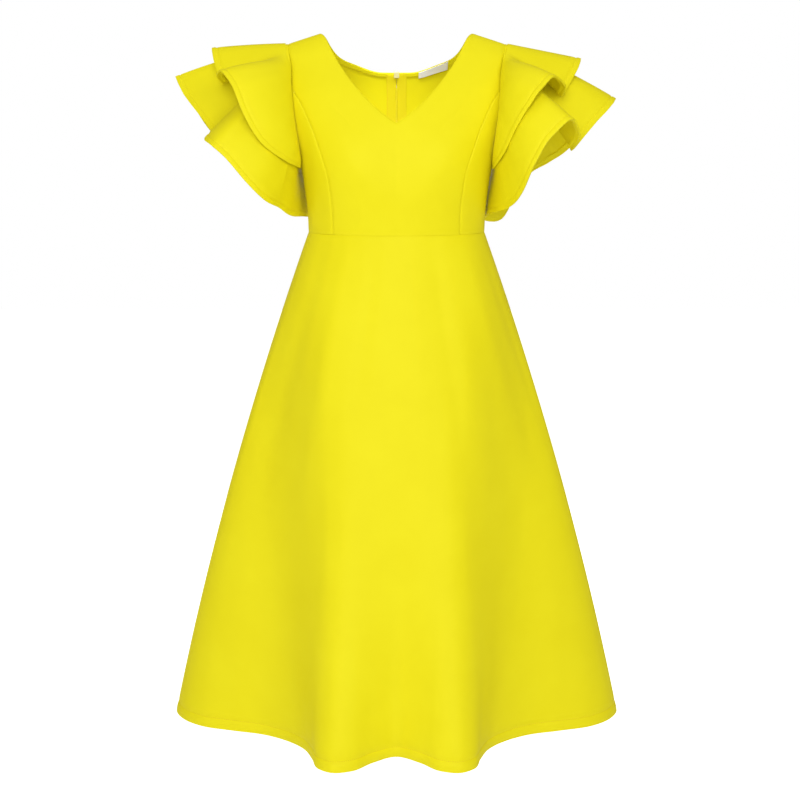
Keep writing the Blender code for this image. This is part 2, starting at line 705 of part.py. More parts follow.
def wall_mesh(name, outer, inner):
    """A closed wall between two grids of points."""
    rows, columns = outer.shape[:2]
    count = rows * columns
    points = np.concatenate([outer.reshape(-1, 3), inner.reshape(-1, 3)])
    faces = []
    for row in range(rows - 1):
        for column in range(columns - 1):
            a = row * columns + column
            b = a + 1
            c = b + columns
            d = a + columns
            faces += [(a, b, c), (a, c, d)]
            faces += [(a + count, c + count, b + count), (a + count, d + count, c + count)]
    top = (rows - 1) * columns
    rim = list(range(columns))
    rim += [row * columns + columns - 1 for row in range(1, rows)]
    rim += [top + column for column in range(columns - 2, -1, -1)]
    rim += [row * columns for row in range(rows - 2, 0, -1)]
    for a, b in zip(rim, rim[1:] + rim[:1]):
        faces += [(b, a, a + count), (b, a + count, b + count)]
    mesh = bpy.data.meshes.new(name)
    mesh.from_pydata(points.tolist(), [], faces)
    mesh.update()
    return mesh


def wall(name, surface, us, vs, turned=False, sewn="", thick=WALL, lift=0.0, colour=YELLOW,
         closed=False):
    """One cloth piece. sewn names the edges that leave half a seam: low, high, start, end.
    A closed piece runs once round, and its two ends meet on the plane between them."""
    u, v = np.meshgrid(us, vs)
    points, normal = points_and_normals(surface, u, v, turned)
    outer = points + normal * lift
    inner = outer - normal * thick
    for layer in (outer, inner):
        views = {"low": layer, "high": layer[::-1]}
        views["start"] = layer.transpose(1, 0, 2)
        views["end"] = views["start"][::-1]
        for place in sewn.split():
            draw_in(views[place], SEAM / 2)
        if closed:
            layer[:, 0, 1] = SEAM / 2
            layer[:, -1, 1] = -SEAM / 2
    if turned:
        outer = outer[:, ::-1]
        inner = inner[:, ::-1]
    return add_piece(name, wall_mesh(name, outer, inner), colour)


def material(name, colour, rough, metal=0.0):
    made = bpy.data.materials.new(name)
    made.use_nodes = True
    shader = made.node_tree.nodes["Principled BSDF"]
    shader.inputs["Base Color"].default_value = colour
    shader.inputs["Roughness"].default_value = rough
    shader.inputs["Metallic"].default_value = metal
    made.diffuse_color = colour
    return made


def collection(name):
    made = bpy.data.collections.new(name)
    bpy.context.scene.collection.children.link(made)
    return made


def add_piece(name, mesh, colour, rough=0.75, metal=0.0):
    piece = bpy.data.objects.new(name, mesh)
    mesh.materials.append(material(name, colour, rough, metal))
    bpy.data.collections["cocktail_dress"].objects.link(piece)
    return piece


# ---------------------------------------------------------------- the dress
def build_bodice():
    share = PRINCESS_SHARE
    rows = np.concatenate([
        np.linspace(0.0, share, ROWS_PRINCESS + 1),
        share + (1 - share) * (1 - ROUND_FRONT_HIGH[-2::-1] / PRINCESS_ROUND)])
    half = np.array(FRONT_STATIONS)
    columns = np.concatenate([-half[:0:-1], half])
    wall("bodice_front_centre", whole_centre_front, columns, rows,
         sewn="low high start end")
    for side, name in ((-1.0, "left"), (1.0, "right")):
        across = (ROUND_FRONT_LOW - PRINCESS_ROUND) / (1 - PRINCESS_ROUND)
        up = np.linspace(0.0, 1.0, ROWS_PRINCESS + 1)
        wall(f"bodice_front_side_{name}", side_front(side), across, up,
             turned=side < 0, sewn="low high start end")
        wall(f"bodice_back_{name}", half_back(side), BACK_STATIONS, ROWS_UP_BACK,
             turned=side > 0, sewn="low high start end")


def build_skirt():
    columns = np.linspace(-1.0, 1.0, 2 * SKIRT_FRONT_STEPS + 1)
    wall("skirt_front", skirt_front, columns, SKIRT_ROWS, turned=True, sewn="low start end")
    half = np.linspace(0.0, 1.0, SKIRT_BACK_STEPS + 1)
    for side, name in ((-1.0, "left"), (1.0, "right")):
        wall(f"skirt_back_{name}", skirt_back(side), half, SKIRT_ROWS,
             turned=side < 0, sewn="low start end")


def build_flounces():
    around = np.concatenate([-ROUND_BACK[:0:-1], ROUND_FRONT_HIGH, ROUND_FRONT_LOW[1:]])
    for side, name in ((-1.0, "left"), (1.0, "right")):
        wall(f"flounce_lower_{name}", lower_flounce(side), around, LOWER_ROWS,
             turned=side < 0, sewn="low", closed=True)
        wall(f"flounce_upper_{name}", upper_flounce(side), around[2:-1], UPPER_ROWS,
             turned=side < 0)


def build_neck():
    """The turned edge inside the back neck, and the blank label that lies on it."""
    edge_rows = ROWS_UP_BACK[-2:]
    columns = (BAND_FROM,) + NECK_STATIONS
    for side, name in ((-1.0, "left"), (1.0, "right")):
        wall(f"neck_band_{name}", half_back(side), columns, edge_rows, turned=side > 0,
             sewn="high end", thick=NECK_BAND_THICK, lift=-(WALL + SEAM))
    wall("label", half_back(1.0), LABEL_STATIONS, edge_rows, turned=True, sewn="high",
         thick=LABEL_THICK, lift=-(WALL + NECK_BAND_THICK + 2 * SEAM), colour=LABEL_WHITE)


def build_tapes():
    rows_on_skirt = SKIRT_ROWS[(SKIRT_ROWS < ZIP_ON_SKIRT)][::-1]
    low = ZIP_SHARE * (1 - np.concatenate([[ZIP_ON_SKIRT], rows_on_skirt]) / ZIP_ON_SKIRT)
    high = ZIP_SHARE + (1 - ZIP_SHARE) * ROWS_UP_BACK[1:]
    neck = half_back(1.0)
    centre = np.array(0.0)
    reach = np.linalg.norm(neck(centre, np.array(1.0)) - neck(centre, ROWS_UP_BACK[-2]))
    high[-1] -= (high[-1] - high[-2]) * TAPE_DROP / reach
    for side, name in ((-1.0, "left"), (1.0, "right")):
        wall(f"zip_tape_{name}", zip_strip(side), (TAPE_FROM, TAPE_TO / 2, TAPE_TO),
             np.concatenate([low, high]), turned=side > 0, thick=TAPE_THICK,
             lift=-(WALL + SEAM), colour=TAPE_YELLOW)


def prism(name, outline, low, high):
    """An outline of (out, up) points, counter-clockwise, drawn out from low to high across."""
    count = len(outline)
    points = [(across, out, up) for across in (low, high) for out, up in outline]
    faces = [tuple(range(count))[::-1], tuple(range(count, 2 * count))]
    for a in range(count):
        b = (a + 1) % count
        faces.append((a, b, b + count, a + count))
    mesh = bpy.data.meshes.new(name)
    mesh.from_pydata(points, [], faces)
    mesh.update()
    return mesh


def tab(name, rows, thick):
    """A flat tab from (height, half width) rows, top first, thick to each side."""
    points = []
    for height, half in rows:
        points += [(-half, -thick, height), (half, -thick, height)]
        points += [(half, thick, height), (-half, thick, height)]
    last = len(points) - 4
    faces = [(0, 1, 2, 3), (last + 3, last + 2, last + 1, last)]
    for top in range(0, last, 4):
        for a in range(4):
            b = (a + 1) % 4
            faces.append((top + b, top + a, top + a + 4, top + b + 4))
    mesh = bpy.data.meshes.new(name)
    mesh.from_pydata(points, [], faces)
    mesh.update()
    return mesh


def circle(out, up, radius):
    turns = np.arange(ROUND_STEPS) * 2 * math.pi / ROUND_STEPS
    return [(out + radius * math.cos(turn), up + radius * math.sin(turn)) for turn in turns]


def combine(piece, name, mesh, operation):
    """Unite a piece with another solid, or cut that solid out of it."""
    cutter = bpy.data.objects.new(name, mesh)
    cutter.hide_render = True
    cutter.display_type = "WIRE"
    bpy.data.collections["cutters"].objects.link(cutter)
    change = piece.modifiers.new(name, "BOOLEAN")
    change.operation = operation
    change.solver = "EXACT"
    change.object = cutter


def slider_frame():
    """Where the slider hangs: the neck's edge at the centre back, turned to the back's fall."""
    back = half_back(1.0)
    rows = np.linspace(1.0, 0.9, 60)
    line = back(np.zeros_like(rows), rows)
    fall = np.linalg.norm(line - line[0], axis=1)
    low = line[int(np.argmax(fall > SLIDER_LEG))]
    tilt = math.atan2(low[1] - line[0][1], line[0][2] - low[2])
    return Matrix.Translation(Vector(line[0])) @ Matrix.Rotation(tilt, 4, "X")


def build_slider(frame):
    inner = -(WALL + SEAM + TAPE_THICK + SLIDER_CLEAR)
    top = SLIDER_OVER + SLIDER_BRIDGE
    tongue = SLIDER_CLEAR + SLIDER_TONGUE_THICK
    outline = [
        (inner - SLIDER_LEG_THICK, top), (inner - SLIDER_LEG_THICK, -SLIDER_LEG),
        (inner, -SLIDER_LEG), (inner, SLIDER_OVER),
        (SLIDER_CLEAR, SLIDER_OVER), (SLIDER_CLEAR, -SLIDER_TONGUE),
        (tongue, -SLIDER_TONGUE), (tongue, top),
    ]
    mesh = prism("zip_slider", outline, -SLIDER_WIDE / 2, SLIDER_WIDE / 2)
    mesh.transform(frame)
    slider = add_piece("zip_slider", mesh, METAL_YELLOW, 0.35, 0.6)
    overlap = tongue - SLIDER_TONGUE_THICK / 2
    lug = circle(PIN_OUT, PIN_UP, LUG_RADIUS)
    lug = [point for point in lug if point[0] >= PIN_OUT - 1e-6]
    lug = [(overlap, PIN_UP + LUG_RADIUS), (overlap, PIN_UP - LUG_RADIUS)] + sorted(
        lug, key=lambda point: point[1])
    inside = PULL_WIDE / 2 + PULL_GAP
    for side, name in ((-1.0, "lug_left"), (1.0, "lug_right")):
        low, high = sorted((side * inside, side * (inside + LUG_THICK)))
        mesh = prism(name, lug, low, high)
        mesh.transform(frame)
        combine(slider, name, mesh, "UNION")
    half = inside + LUG_THICK / 2
    mesh = prism("pin", circle(PIN_OUT, PIN_UP, PIN_RADIUS), -half, half)
    mesh.transform(frame)
    combine(slider, "pin", mesh, "UNION")


def build_pull(frame):
    """The pull's origin is on the pin. It leans in from there to lie along the back."""
    pin = frame @ Vector((0.0, PIN_OUT, PIN_UP))
    turn = frame.to_3x3().to_4x4() @ Matrix.Rotation(-math.radians(PULL_LEAN), 4, "X")
    mesh = tab("zip_pull", PULL_SHAPE, PULL_THICK / 2)
    mesh.transform(turn)
    pull = add_piece("zip_pull", mesh, METAL_YELLOW, 0.35, 0.6)
    pull.location = pin
    half = PULL_WIDE / 2
    for name, radius, reach, operation in (
            ("barrel", PULL_BARREL, half, "UNION"), ("eye", PULL_EYE, 2 * half, "DIFFERENCE")):
        mesh = prism(name, circle(0.0, 0.0, radius), -reach, reach)
        mesh.transform(Matrix.Translation(pin) @ turn)
        combine(pull, name, mesh, operation)


for old in list(bpy.data.objects):
    bpy.data.objects.remove(old)
collection("cocktail_dress")
collection("cutters")
build_bodice()
build_skirt()
build_flounces()
build_neck()
build_tapes()
zip_frame = slider_frame()
build_slider(zip_frame)
build_pull(zip_frame)
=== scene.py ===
# %% [markdown]
# # A yellow cocktail dress, piece by piece
# This lesson dresses a plain model of a flared dress in finished cloth. The plain model,
# the frame, already holds every piece that a maker would cut: five bodice panels, three
# skirt panels, four flounces, the neck's turned edge, a label, two zip tapes, the slider
# and its pull. Each cell below makes one of them again with the detail of real sewing.

# %% Load the frame
import math

import bpy
import numpy as np
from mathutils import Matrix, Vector


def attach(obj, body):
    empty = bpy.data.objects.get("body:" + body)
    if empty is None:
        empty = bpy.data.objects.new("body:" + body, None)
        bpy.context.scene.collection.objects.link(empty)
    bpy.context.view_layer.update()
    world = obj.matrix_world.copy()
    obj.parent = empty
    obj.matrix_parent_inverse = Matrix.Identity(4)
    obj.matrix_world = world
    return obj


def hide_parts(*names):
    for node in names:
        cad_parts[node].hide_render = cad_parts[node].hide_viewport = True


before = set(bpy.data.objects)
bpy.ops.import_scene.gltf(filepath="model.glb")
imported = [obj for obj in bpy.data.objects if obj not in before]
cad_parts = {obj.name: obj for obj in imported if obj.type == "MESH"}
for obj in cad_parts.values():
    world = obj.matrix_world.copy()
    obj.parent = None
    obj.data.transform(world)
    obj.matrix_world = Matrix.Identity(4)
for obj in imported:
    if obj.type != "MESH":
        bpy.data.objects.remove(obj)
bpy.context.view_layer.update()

# %% [markdown]
# ## The camera
# The dress is seen from the front by a camera a little above its middle, tipped down by
# about nine degrees. The lens is long, so the sides of the skirt keep their true lean.

# %% Camera
CAMERA_PLACE = (0.00534, -2.60, -0.131)
CAMERA_DOWN = 9.17
LENS = 76.6


def put(name, data, place=(0.0, 0.0, 0.0), tip=0.0):
    """A new object in the scene, tipped up from straight down by an angle in degrees."""
    made = bpy.data.objects.new(name, data)
    bpy.context.scene.collection.objects.link(made)
    made.location = place
    made.rotation_euler = (math.radians(tip), 0.0, 0.0)
    return made


lens_data = bpy.data.cameras.new("camera")
lens_data.lens = LENS
lens_data.sensor_width = 36.0
bpy.context.scene.camera = put("camera", lens_data, CAMERA_PLACE, 90.0 - CAMERA_DOWN)
print("camera at", CAMERA_PLACE, "looking down by", CAMERA_DOWN, "degrees")

# %% [markdown]
# ## Floor, light and world
# A studio shot on white. A big soft lamp stands in front, a little to the left and above,
# and weaker ones lift both sides and the shoulders. A narrow beam from above reaches over
# the front neck to the inside of the back. The room gives the rest, warmed by all that
# yellow, so the folds stay warm, and is only seen as white. The floor lies below the hem,
# where a wearer's feet would stand.

# %% Floor and lights
FLOOR_Z = -1.38
FLOOR_LIGHT = 0.02
FLOOR_SEEN = 0.85
ROOM_LIGHT = 0.44
ROOM_SEEN = 1.0
ROOM_TINT = (1.0, 0.93, 0.55, 1.0)
WHITE = (1.0, 1.0, 1.0, 1.0)
LAMPS = (
    # name, place, height it aims at, width, height, watts
    ("key", (-0.30, -3.05, 0.8), -0.4, 1.2, 1.2, 38.5),
    ("right", (1.5, -2.8, 0.7), -0.4, 1.2, 1.2, 14.5),
    ("left", (-2.6, -1.4, -0.2), -0.6, 1.2, 1.8, 5.5),
    ("top", (0.1, -0.3, 2.0), -0.2, 1.0, 0.8, 4.5),
    ("back", (0.0, 3.0, -0.1), -0.5, 1.4, 1.4, 24.0),
)


def soft_lamp(name, place, aim, wide, high, watts):
    lamp = bpy.data.lights.new(name, "AREA")
    lamp.shape = "RECTANGLE"
    lamp.size = wide
    lamp.size_y = high
    lamp.energy = watts
    look = Vector((0.0, 0.0, aim)) - Vector(place)
    put(name, lamp, place).rotation_euler = look.to_track_quat("-Z", "Y").to_euler()


def plain_material(name, colour, rough):
    """A material, and the inputs of its shader."""
    made = bpy.data.materials.new(name)
    made.use_nodes = True
    inputs = made.node_tree.nodes["Principled BSDF"].inputs
    inputs["Base Color"].default_value = colour
    inputs["Roughness"].default_value = rough
    return made, inputs


def add_node(tree, kind, inputs, **settings):
    """A shader node. An input takes a value, or a link when it is given a socket."""
    node = tree.nodes.new("ShaderNode" + kind)
    for label, value in settings.items():
        setattr(node, label, value)
    for label, value in inputs.items():
        if isinstance(value, bpy.types.NodeSocket):
            tree.links.new(value, node.inputs[label])
        else:
            node.inputs[label].default_value = value
    return node


def two_tone(tree, mask, first, second, target):
    """One colour where the mask is 0, another where it is 1."""
    ramp = add_node(tree, "ValToRGB", {"Fac": mask})
    ramp.color_ramp.elements[0].color = first
    ramp.color_ramp.elements[1].color = second
    tree.links.new(ramp.outputs["Color"], target)


def glow(tree, strength, light, seen):
    """Give a strength its light on the dress, and another where it is only looked at."""
    ray = add_node(tree, "LightPath", {}).outputs["Is Camera Ray"]
    span = add_node(tree, "MapRange", {"Value": ray, "To Min": light, "To Max": seen})
    tree.links.new(span.outputs["Result"], strength)
    return ray


bpy.ops.object.select_all(action="DESELECT")
bpy.ops.mesh.primitive_plane_add(size=14.0, location=(0.0, 2.0, FLOOR_Z))
floor = bpy.context.object
floor.name = "floor"
white, inputs = plain_material("floor_white", (0.93, 0.93, 0.92, 1.0), 0.9)
inputs["Emission Color"].default_value = WHITE
glow(white.node_tree, inputs["Emission Strength"], FLOOR_LIGHT, FLOOR_SEEN)
floor.data.materials.append(white)

for lamp in LAMPS:
    soft_lamp(*lamp)
beam = bpy.data.lights.new("neck_beam", "SPOT")
beam.spot_size = math.radians(15.0)
beam.spot_blend = 0.6
beam.shadow_soft_size = 0.03
beam.energy = 14.0
put("neck_beam", beam, (0.0, -0.35, 0.35), 45.0)

room = bpy.data.worlds.new("studio")
bpy.context.scene.world = room
room.use_nodes = True
inputs = room.node_tree.nodes["Background"].inputs
seen = glow(room.node_tree, inputs["Strength"], ROOM_LIGHT, ROOM_SEEN)
two_tone(room.node_tree, seen, ROOM_TINT, WHITE, inputs["Color"])
bpy.context.scene.view_settings.view_transform = "Standard"
print("lamps", [lamp[0] for lamp in LAMPS] + [beam.name])

# %% [markdown]
# ## The cut: sizes and tables
# A dress is drawn once and then sewn many times, so its measures come first. The bodice
# is cut for a body described level by level, and every seam and edge is a line on that
# body. The hems are drawn from above, crest by crest. The frame was made from the same
# tables, so a piece made from them sits exactly where the frame's own piece sits.

# %% Measures, metres
WALL = 0.0016
SEAM = 0.0003
WAIST_Z = -0.291
HEM_Z = -1.051
SHOULDER_POINT = 0.1147
SHOULDER_RISE = 0.0045
SHOULDER_SLOPE = 0.32
SHOULDER_FADE = 0.060
BUST_FULLNESS = 0.013
BUST_X = 0.080
BUST_Z = -0.190
BUST_WIDE = 0.052
BUST_HIGH = 0.055
SKIRT_SWELL = 0.26
FOLDS_FULL = 0.35
HEM_REACH = 4.0
TIER_START = 0.018
NECK_BAND_THICK = 0.0010
TAPE_THICK = 0.0008
LABEL_THICK = 0.0006
ZIP_END_Z = -0.455
EDGE_STEPS = 60
PRINCESS_SHARE = 0.68
SIDE_SHARE = 0.30
NECK_SHARE = 0.78
print("the skirt falls", round(WAIST_Z - HEM_Z, 3), "m below the waist seam")

# %% Tables, in millimetres
def metres(rows, plain=None):
    """A table as an array in metres. One plain column keeps its own unit."""
    table = np.array(rows, float)
    own = [column for column in range(table.shape[1]) if column != plain]
    table[:, own] /= 1000
    return table


# The body that the bodice is cut for, from the shoulder line down to the waist seam.
# Each row is one level: its height, half width, depth in front, depth behind, squareness.
BODY_LEVELS = metres((
    # z      half    front   back    square
    (0, 175, 0, 0, 2.5), (-4, 175, 15, 17, 2.5), (-17, 175.5, 31, 35, 2.5),
    (-45, 176, 52, 59, 2.5), (-78, 177, 75, 78, 2.5), (-110, 174, 90, 90, 2.5),
    (-140, 164, 101, 97, 2.4), (-170, 152, 108, 101, 2.3), (-200, 143, 111, 102, 2.2),
    (-230, 138.5, 111, 100, 2.1), (-260, 135, 108, 97, 2.03), (-291, 133.7, 105, 95, 2),
), 4)

# Seams and edges on that body: turn is the angle from the side (0) to the centre (90).
NECK_FRONT = metres((
    # turn   z
    (90, -127), (87, -116.5), (75.5, -75.7), (66.4, -40.5), (61.3, -20), (53.9, 0),
), 0)
NECK_BACK = metres((
    (90, -51), (83.5, -49.7), (74.9, -40.2), (64.8, -27.7), (53.9, 0),
), 0)
PRINCESS = metres((
    (45, -291), (46, -236.5), (46.2, -205), (45.2, -170), (45, -131), (40.8, -98.5), (32.6, -79),
), 0)
# The armhole, from the shoulder tip to the underarm.
ARMHOLE_FRONT = metres((
    (23.8, 0), (26.6, -20), (30.7, -45), (32.6, -79), (32.4, -110), (27.9, -140), (17.4, -175),
    (0, -195),
), 0)
ARMHOLE_BACK = metres((
    (23.8, 0), (26, -21), (29.2, -47), (30.6, -82), (30, -113), (26, -143), (16.4, -176.5),
    (0, -195),
), 0)

# The hem seen from above, from the centre to the side seam. Each row is a crest, a trough
# or the flank between them.
HEM_FRONT = metres((
    # x      y
    (0, -205), (34, -229), (64, -262), (92, -269), (113, -253), (124, -214), (138, -174),
    (165, -140), (202, -113), (252, -95), (303, -74), (334, -43), (351, 5),
))
HEM_BACK_RIGHT = metres((
    (0, 208), (42, 233), (82, 262), (118, 250), (136, 208), (162, 164), (205, 136), (256, 123),
    (304, 102), (338, 60), (351, 5),
))
HEM_BACK_LEFT = metres((
    (0, 208), (36, 226), (76, 255), (110, 262), (136, 230), (154, 182), (190, 143), (242, 124),
    (296, 106), (335, 64), (351, 5),
))
HEM_PLAIN_FRONT = 0.232  # depth of the unfolded hem, in front and behind
HEM_PLAIN_BACK = 0.228
# Half way down, the folds hang straight: how far the cloth lies behind the middle of the
# front, by its distance from the dress's middle line. Behind, the folds are shallower.
FOLD_BACK = 0.72
FOLD_LINES = metres((
    (0, 0), (50, 3), (88, 11), (104, 19), (128, 41), (152, 69), (176, 96), (200, 117), (223, 129),
    (247, 139), (272, 151), (298, 168), (351, 215),
))

# Hems of the flounces. round runs from the underarm behind (-1) over the shoulder tip (0)
# to the underarm in front (1); arch is how far the cloth stands out at half its width.
# out is the distance from the middle of the dress.
LOWER_RIGHT = metres((
    # round   out     y       z      arch
    (-1, 137.2, 0, -265, 1), (-0.9, 134.5, 39, -276, 2), (-0.8, 164, 64, -274, 3),
    (-0.72, 186, 93, -238, 6), (-0.62, 206, 114, -211, 9), (-0.46, 240, 131, -190, 10),
    (-0.3, 269, 127, -170, 8), (-0.18, 287, 92, -148, 4), (-0.09, 306, 62, -120, 4),
    (-0.04, 325.5, 42, -98, 4), (0, 332.9, 20, -91.1, 4), (0.025, 323.5, -1.5, -102.5, 3),
    (0.055, 299, -18, -127, 2), (0.095, 261, -56, -168, 2), (0.135, 268, -94, -148, 6),
    (0.18, 257, -130, -123.5, 12), (0.27, 225, -148, -143, 16), (0.4, 200, -146, -181.5, 14),
    (0.58, 181, -118, -228, 7), (0.76, 166, -82, -250, 3), (0.9, 150, -42, -259, 2),
    (1, 137.2, 0, -265, 1),
), 0)
LOWER_LEFT = metres((
    (-1, 143, 0, -268, 1), (-0.9, 134.5, 42, -270, 2), (-0.78, 160, 76, -260, 5),
    (-0.62, 203, 112, -215, 9), (-0.46, 241, 127, -187, 10), (-0.3, 274, 117, -156, 8),
    (-0.18, 295, 86, -133, 4), (-0.09, 313, 56, -100, 4), (-0.04, 329.5, 39, -69, 4),
    (0, 334.7, 20, -58.2, 4), (0.035, 320, -3, -85, 2), (0.07, 296, -29, -113, 2),
    (0.11, 274, -56, -140, 2), (0.145, 280, -95, -150, 6), (0.185, 270, -124, -156, 10),
    (0.27, 248, -135, -174, 12), (0.4, 217, -136, -210, 12), (0.58, 189, -118, -239.3, 6),
    (0.76, 171, -80, -252, 3), (0.9, 156, -40, -265.5, 2), (1, 143, 0, -268, 1),
), 0)
UPPER_RIGHT = metres((
    (-0.93, 143, 24, -198, 1), (-0.8, 149, 64, -190, 4), (-0.64, 172, 98, -168, 7),
    (-0.48, 192, 118, -135, 8), (-0.36, 215, 118, -105, 8), (-0.24, 238, 96, -86, 6),
    (-0.14, 250, 66, -76, 4), (-0.07, 264, 44, -52, 3), (-0.03, 275.5, 32, -37.5, 1),
    (0, 278.7, 18, -31.7, 0), (0.022, 275, 4, -42.5, 1), (0.05, 264, -8, -62, 3),
    (0.09, 247, -34, -87, 3), (0.13, 249, -64, -74, 6), (0.17, 233, -98, -61, 12),
    (0.25, 211, -123, -76, 16), (0.37, 192, -129, -101, 14), (0.51, 173.5, -122, -132, 10),
    (0.68, 156.5, -94, -172, 6), (0.82, 147, -58, -190.5, 3), (0.93, 143.5, -27, -197.5, 1),
), 0)
UPPER_LEFT = metres((
    (-0.93, 142, 24, -198, 1), (-0.8, 147, 64, -192, 4), (-0.64, 169, 96, -170, 7),
    (-0.48, 198, 116, -133, 8), (-0.36, 223, 112, -99, 8), (-0.24, 245, 90, -76, 6),
    (-0.14, 256, 62, -61, 4), (-0.07, 268, 42, -37, 3), (-0.03, 276.5, 32, -21.5, 2),
    (0, 278.9, 20, -15.7, 1), (0.045, 272, -4, -43, 2), (0.09, 259, -32, -68, 3),
    (0.13, 264, -62, -59, 6), (0.17, 257, -90, -52, 10), (0.25, 239, -112, -70, 14),
    (0.37, 220, -126, -113, 14), (0.51, 196, -124, -154, 14), (0.68, 160, -94, -183.5, 7),
    (0.82, 146.5, -58, -191.5, 4), (0.93, 144, -27, -195, 1),
), 0)
LAP_FROM = 0.10          # round the armhole, where the lower tier starts to lie on the bodice
LAP_FULL = 0.36
print("levels of the body", len(BODY_LEVELS), "hem points", len(HEM_FRONT))

# %% [markdown]
# ## Curves through the tables
# A pattern maker marks a few points and draws a fair curve through them. `through` does
# the same, and `body` turns a place on the body, how far round and how far down, into a
# point in space. `edge` reads a seam by its length, so two panels can share its stations.

# %% Fair curves
def through(keys, values, at):
    """A smooth curve through the rows of a table, read at any place between them."""
    slopes = np.gradient(values, keys, axis=0)
    low = np.clip(np.searchsorted(keys, at) - 1, 0, len(keys) - 2)
    shape = at.shape + (1,) * (values.ndim - 1)
    step = (keys[low + 1] - keys[low]).reshape(shape)
    part = (at - keys[low]).reshape(shape) / step
    first = values[low] * (1 + 2 * part) * (1 - part) ** 2
    second = values[low + 1] * part ** 2 * (3 - 2 * part)
    bend = slopes[low] * part * (1 - part) ** 2 - slopes[low + 1] * part ** 2 * (1 - part)
    return first + second + bend * step


def lengths(points):
    """How far each point of a line lies from its start, along the line."""
    return np.concatenate([[0.0], np.cumsum(np.linalg.norm(np.diff(points, axis=0), axis=1))])


def unit(vectors):
    return vectors / np.linalg.norm(vectors, axis=-1, keepdims=True)


print("half the front hem, crest to trough", round(lengths(HEM_FRONT)[-1], 3), "m")

# %% The body
def body_table():
    """The body's levels keyed by their distance down from the shoulder line."""
    down = lengths(BODY_LEVELS[:, [0, 2]])
    above = BODY_LEVELS[1] * np.array([1, 1, -1, -1, 1])
    return np.concatenate([[-down[1]], down]), np.vstack([above, BODY_LEVELS])


DOWN_KEYS, BODY = body_table()
DENSE_DOWN = np.linspace(0.0, DOWN_KEYS[-1], 600)
DENSE_Z = through(DOWN_KEYS, BODY[:, 0], DENSE_DOWN)
WAIST_DOWN = DOWN_KEYS[-1]


def down_at(z):
    """Distance from the shoulder line, down the front, of the level at height z."""
    return np.interp(-np.asarray(z, float), -DENSE_Z, DENSE_DOWN)


def signed_power(value, power):
    return np.sign(value) * np.abs(value) ** power


def body(turn, down, front, side):
    """A point of the bodice's outer surface."""
    z, half, ahead, behind, square = np.moveaxis(through(DOWN_KEYS, BODY, down), -1, 0)
    angle = np.radians(turn)
    across = signed_power(np.cos(angle), 2.0 / square)
    out = signed_power(np.sin(angle), 2.0 / square)
    x = half * across
    cup = np.exp(-((x - BUST_X) / BUST_WIDE) ** 2 - ((z - BUST_Z) / BUST_HIGH) ** 2)
    depth = ahead + BUST_FULLNESS * cup if front else behind
    y = (-depth if front else depth) * out
    rise = SHOULDER_RISE - SHOULDER_SLOPE * (x - SHOULDER_POINT)
    z = z + rise * np.clip(1.0 - (down / SHOULDER_FADE) ** 2, 0.0, 1.0) ** 2
    return np.stack([side * x, y, z], axis=-1)


def edge(table, front):
    """One seam or edge of the bodice as a curve of (turn, down), read by its length."""
    places = np.stack([table[:, 0], down_at(table[:, 1])], axis=1)
    even = np.linspace(0.0, 1.0, EDGE_STEPS)
    for _ in range(3):
        length = lengths(body(*places.T, front, 1.0))
        places = through(length / length[-1], places, even)
    return lambda along: through(even, places, along)


ARMHOLE = {True: edge(ARMHOLE_FRONT, True), False: edge(ARMHOLE_BACK, False)}
PRINCESS_SEAM = edge(PRINCESS, True)
PRINCESS_ROUND = float(np.argmin([
    abs(ARMHOLE[True](np.array(a))[1] - down_at(PRINCESS[-1][1]))
    for a in np.linspace(0.0, 1.0, 1001)])) / 1000
print("shoulder line to waist seam, down the front", round(WAIST_DOWN, 3), "m")

# %% [markdown]
# ## Panels of the bodice
# A panel is a patch of the body between four edges. `coons` blends the edges across it, as
# a pattern piece is laid on a dress form and pinned along its seams. The centre front has
# the V neck and the shoulders on its top edge, the princess seam and the armhole at its side.

# %% A patch between four edges
def coons(bottom, top, inner, outer):
    """A patch of (turn, down) between four edges, u from inner to outer, v up."""
    def patch(u, v):
        u1 = u[..., None]
        v1 = v[..., None]
        corner = [edge_of(np.array(a)) for edge_of in (bottom, top) for a in (0.0, 1.0)]
        along = (1 - v1) * bottom(u) + v1 * top(u)
        across = (1 - u1) * inner(v) + u1 * outer(v)
        flat = (1 - v1) * ((1 - u1) * corner[0] + u1 * corner[1])
        flat = flat + v1 * ((1 - u1) * corner[2] + u1 * corner[3])
        return along + across - flat
    return patch


def joined(first, second, share):
    """Two edges end to end, the first up to share and the second after it."""
    def curve(along):
        early = first(np.clip(along / share, 0.0, 1.0))
        late = second(np.clip((along - share) / (1 - share), 0.0, 1.0))
        return np.where((along <= share)[..., None], early, late)
    return curve


def straight(start, end):
    run = np.subtract(end, start)
    return lambda along: start + run * along[..., None]


def mirrored(half):
    """A whole panel from its right half, u from -1 at its left edge to 1 at its right."""
    def surface(u, v):
        points = half(np.abs(u), v)
        points[..., 0] *= np.where(u < 0, -1.0, 1.0)
        return points
    return surface

# %% Bodice panels
PRINCESS_TURN = PRINCESS[0][0]
SHOULDER = straight((NECK_FRONT[-1][0], 0.0), (ARMHOLE_FRONT[0][0], 0.0))


def upright(turn, z):
    """The line at one turn from the waist seam up to height z."""
    return straight((turn, WAIST_DOWN), (turn, float(down_at(z))))


def panel(waist, top, inner, outer, front, side):
    """A panel that stands on the waist seam, from one turn to another."""
    bottom = straight((waist[0], WAIST_DOWN), (waist[1], WAIST_DOWN))
    patch = coons(bottom, top, inner, outer)
    return lambda u, v: body(*np.moveaxis(patch(u, v), -1, 0), front, side)


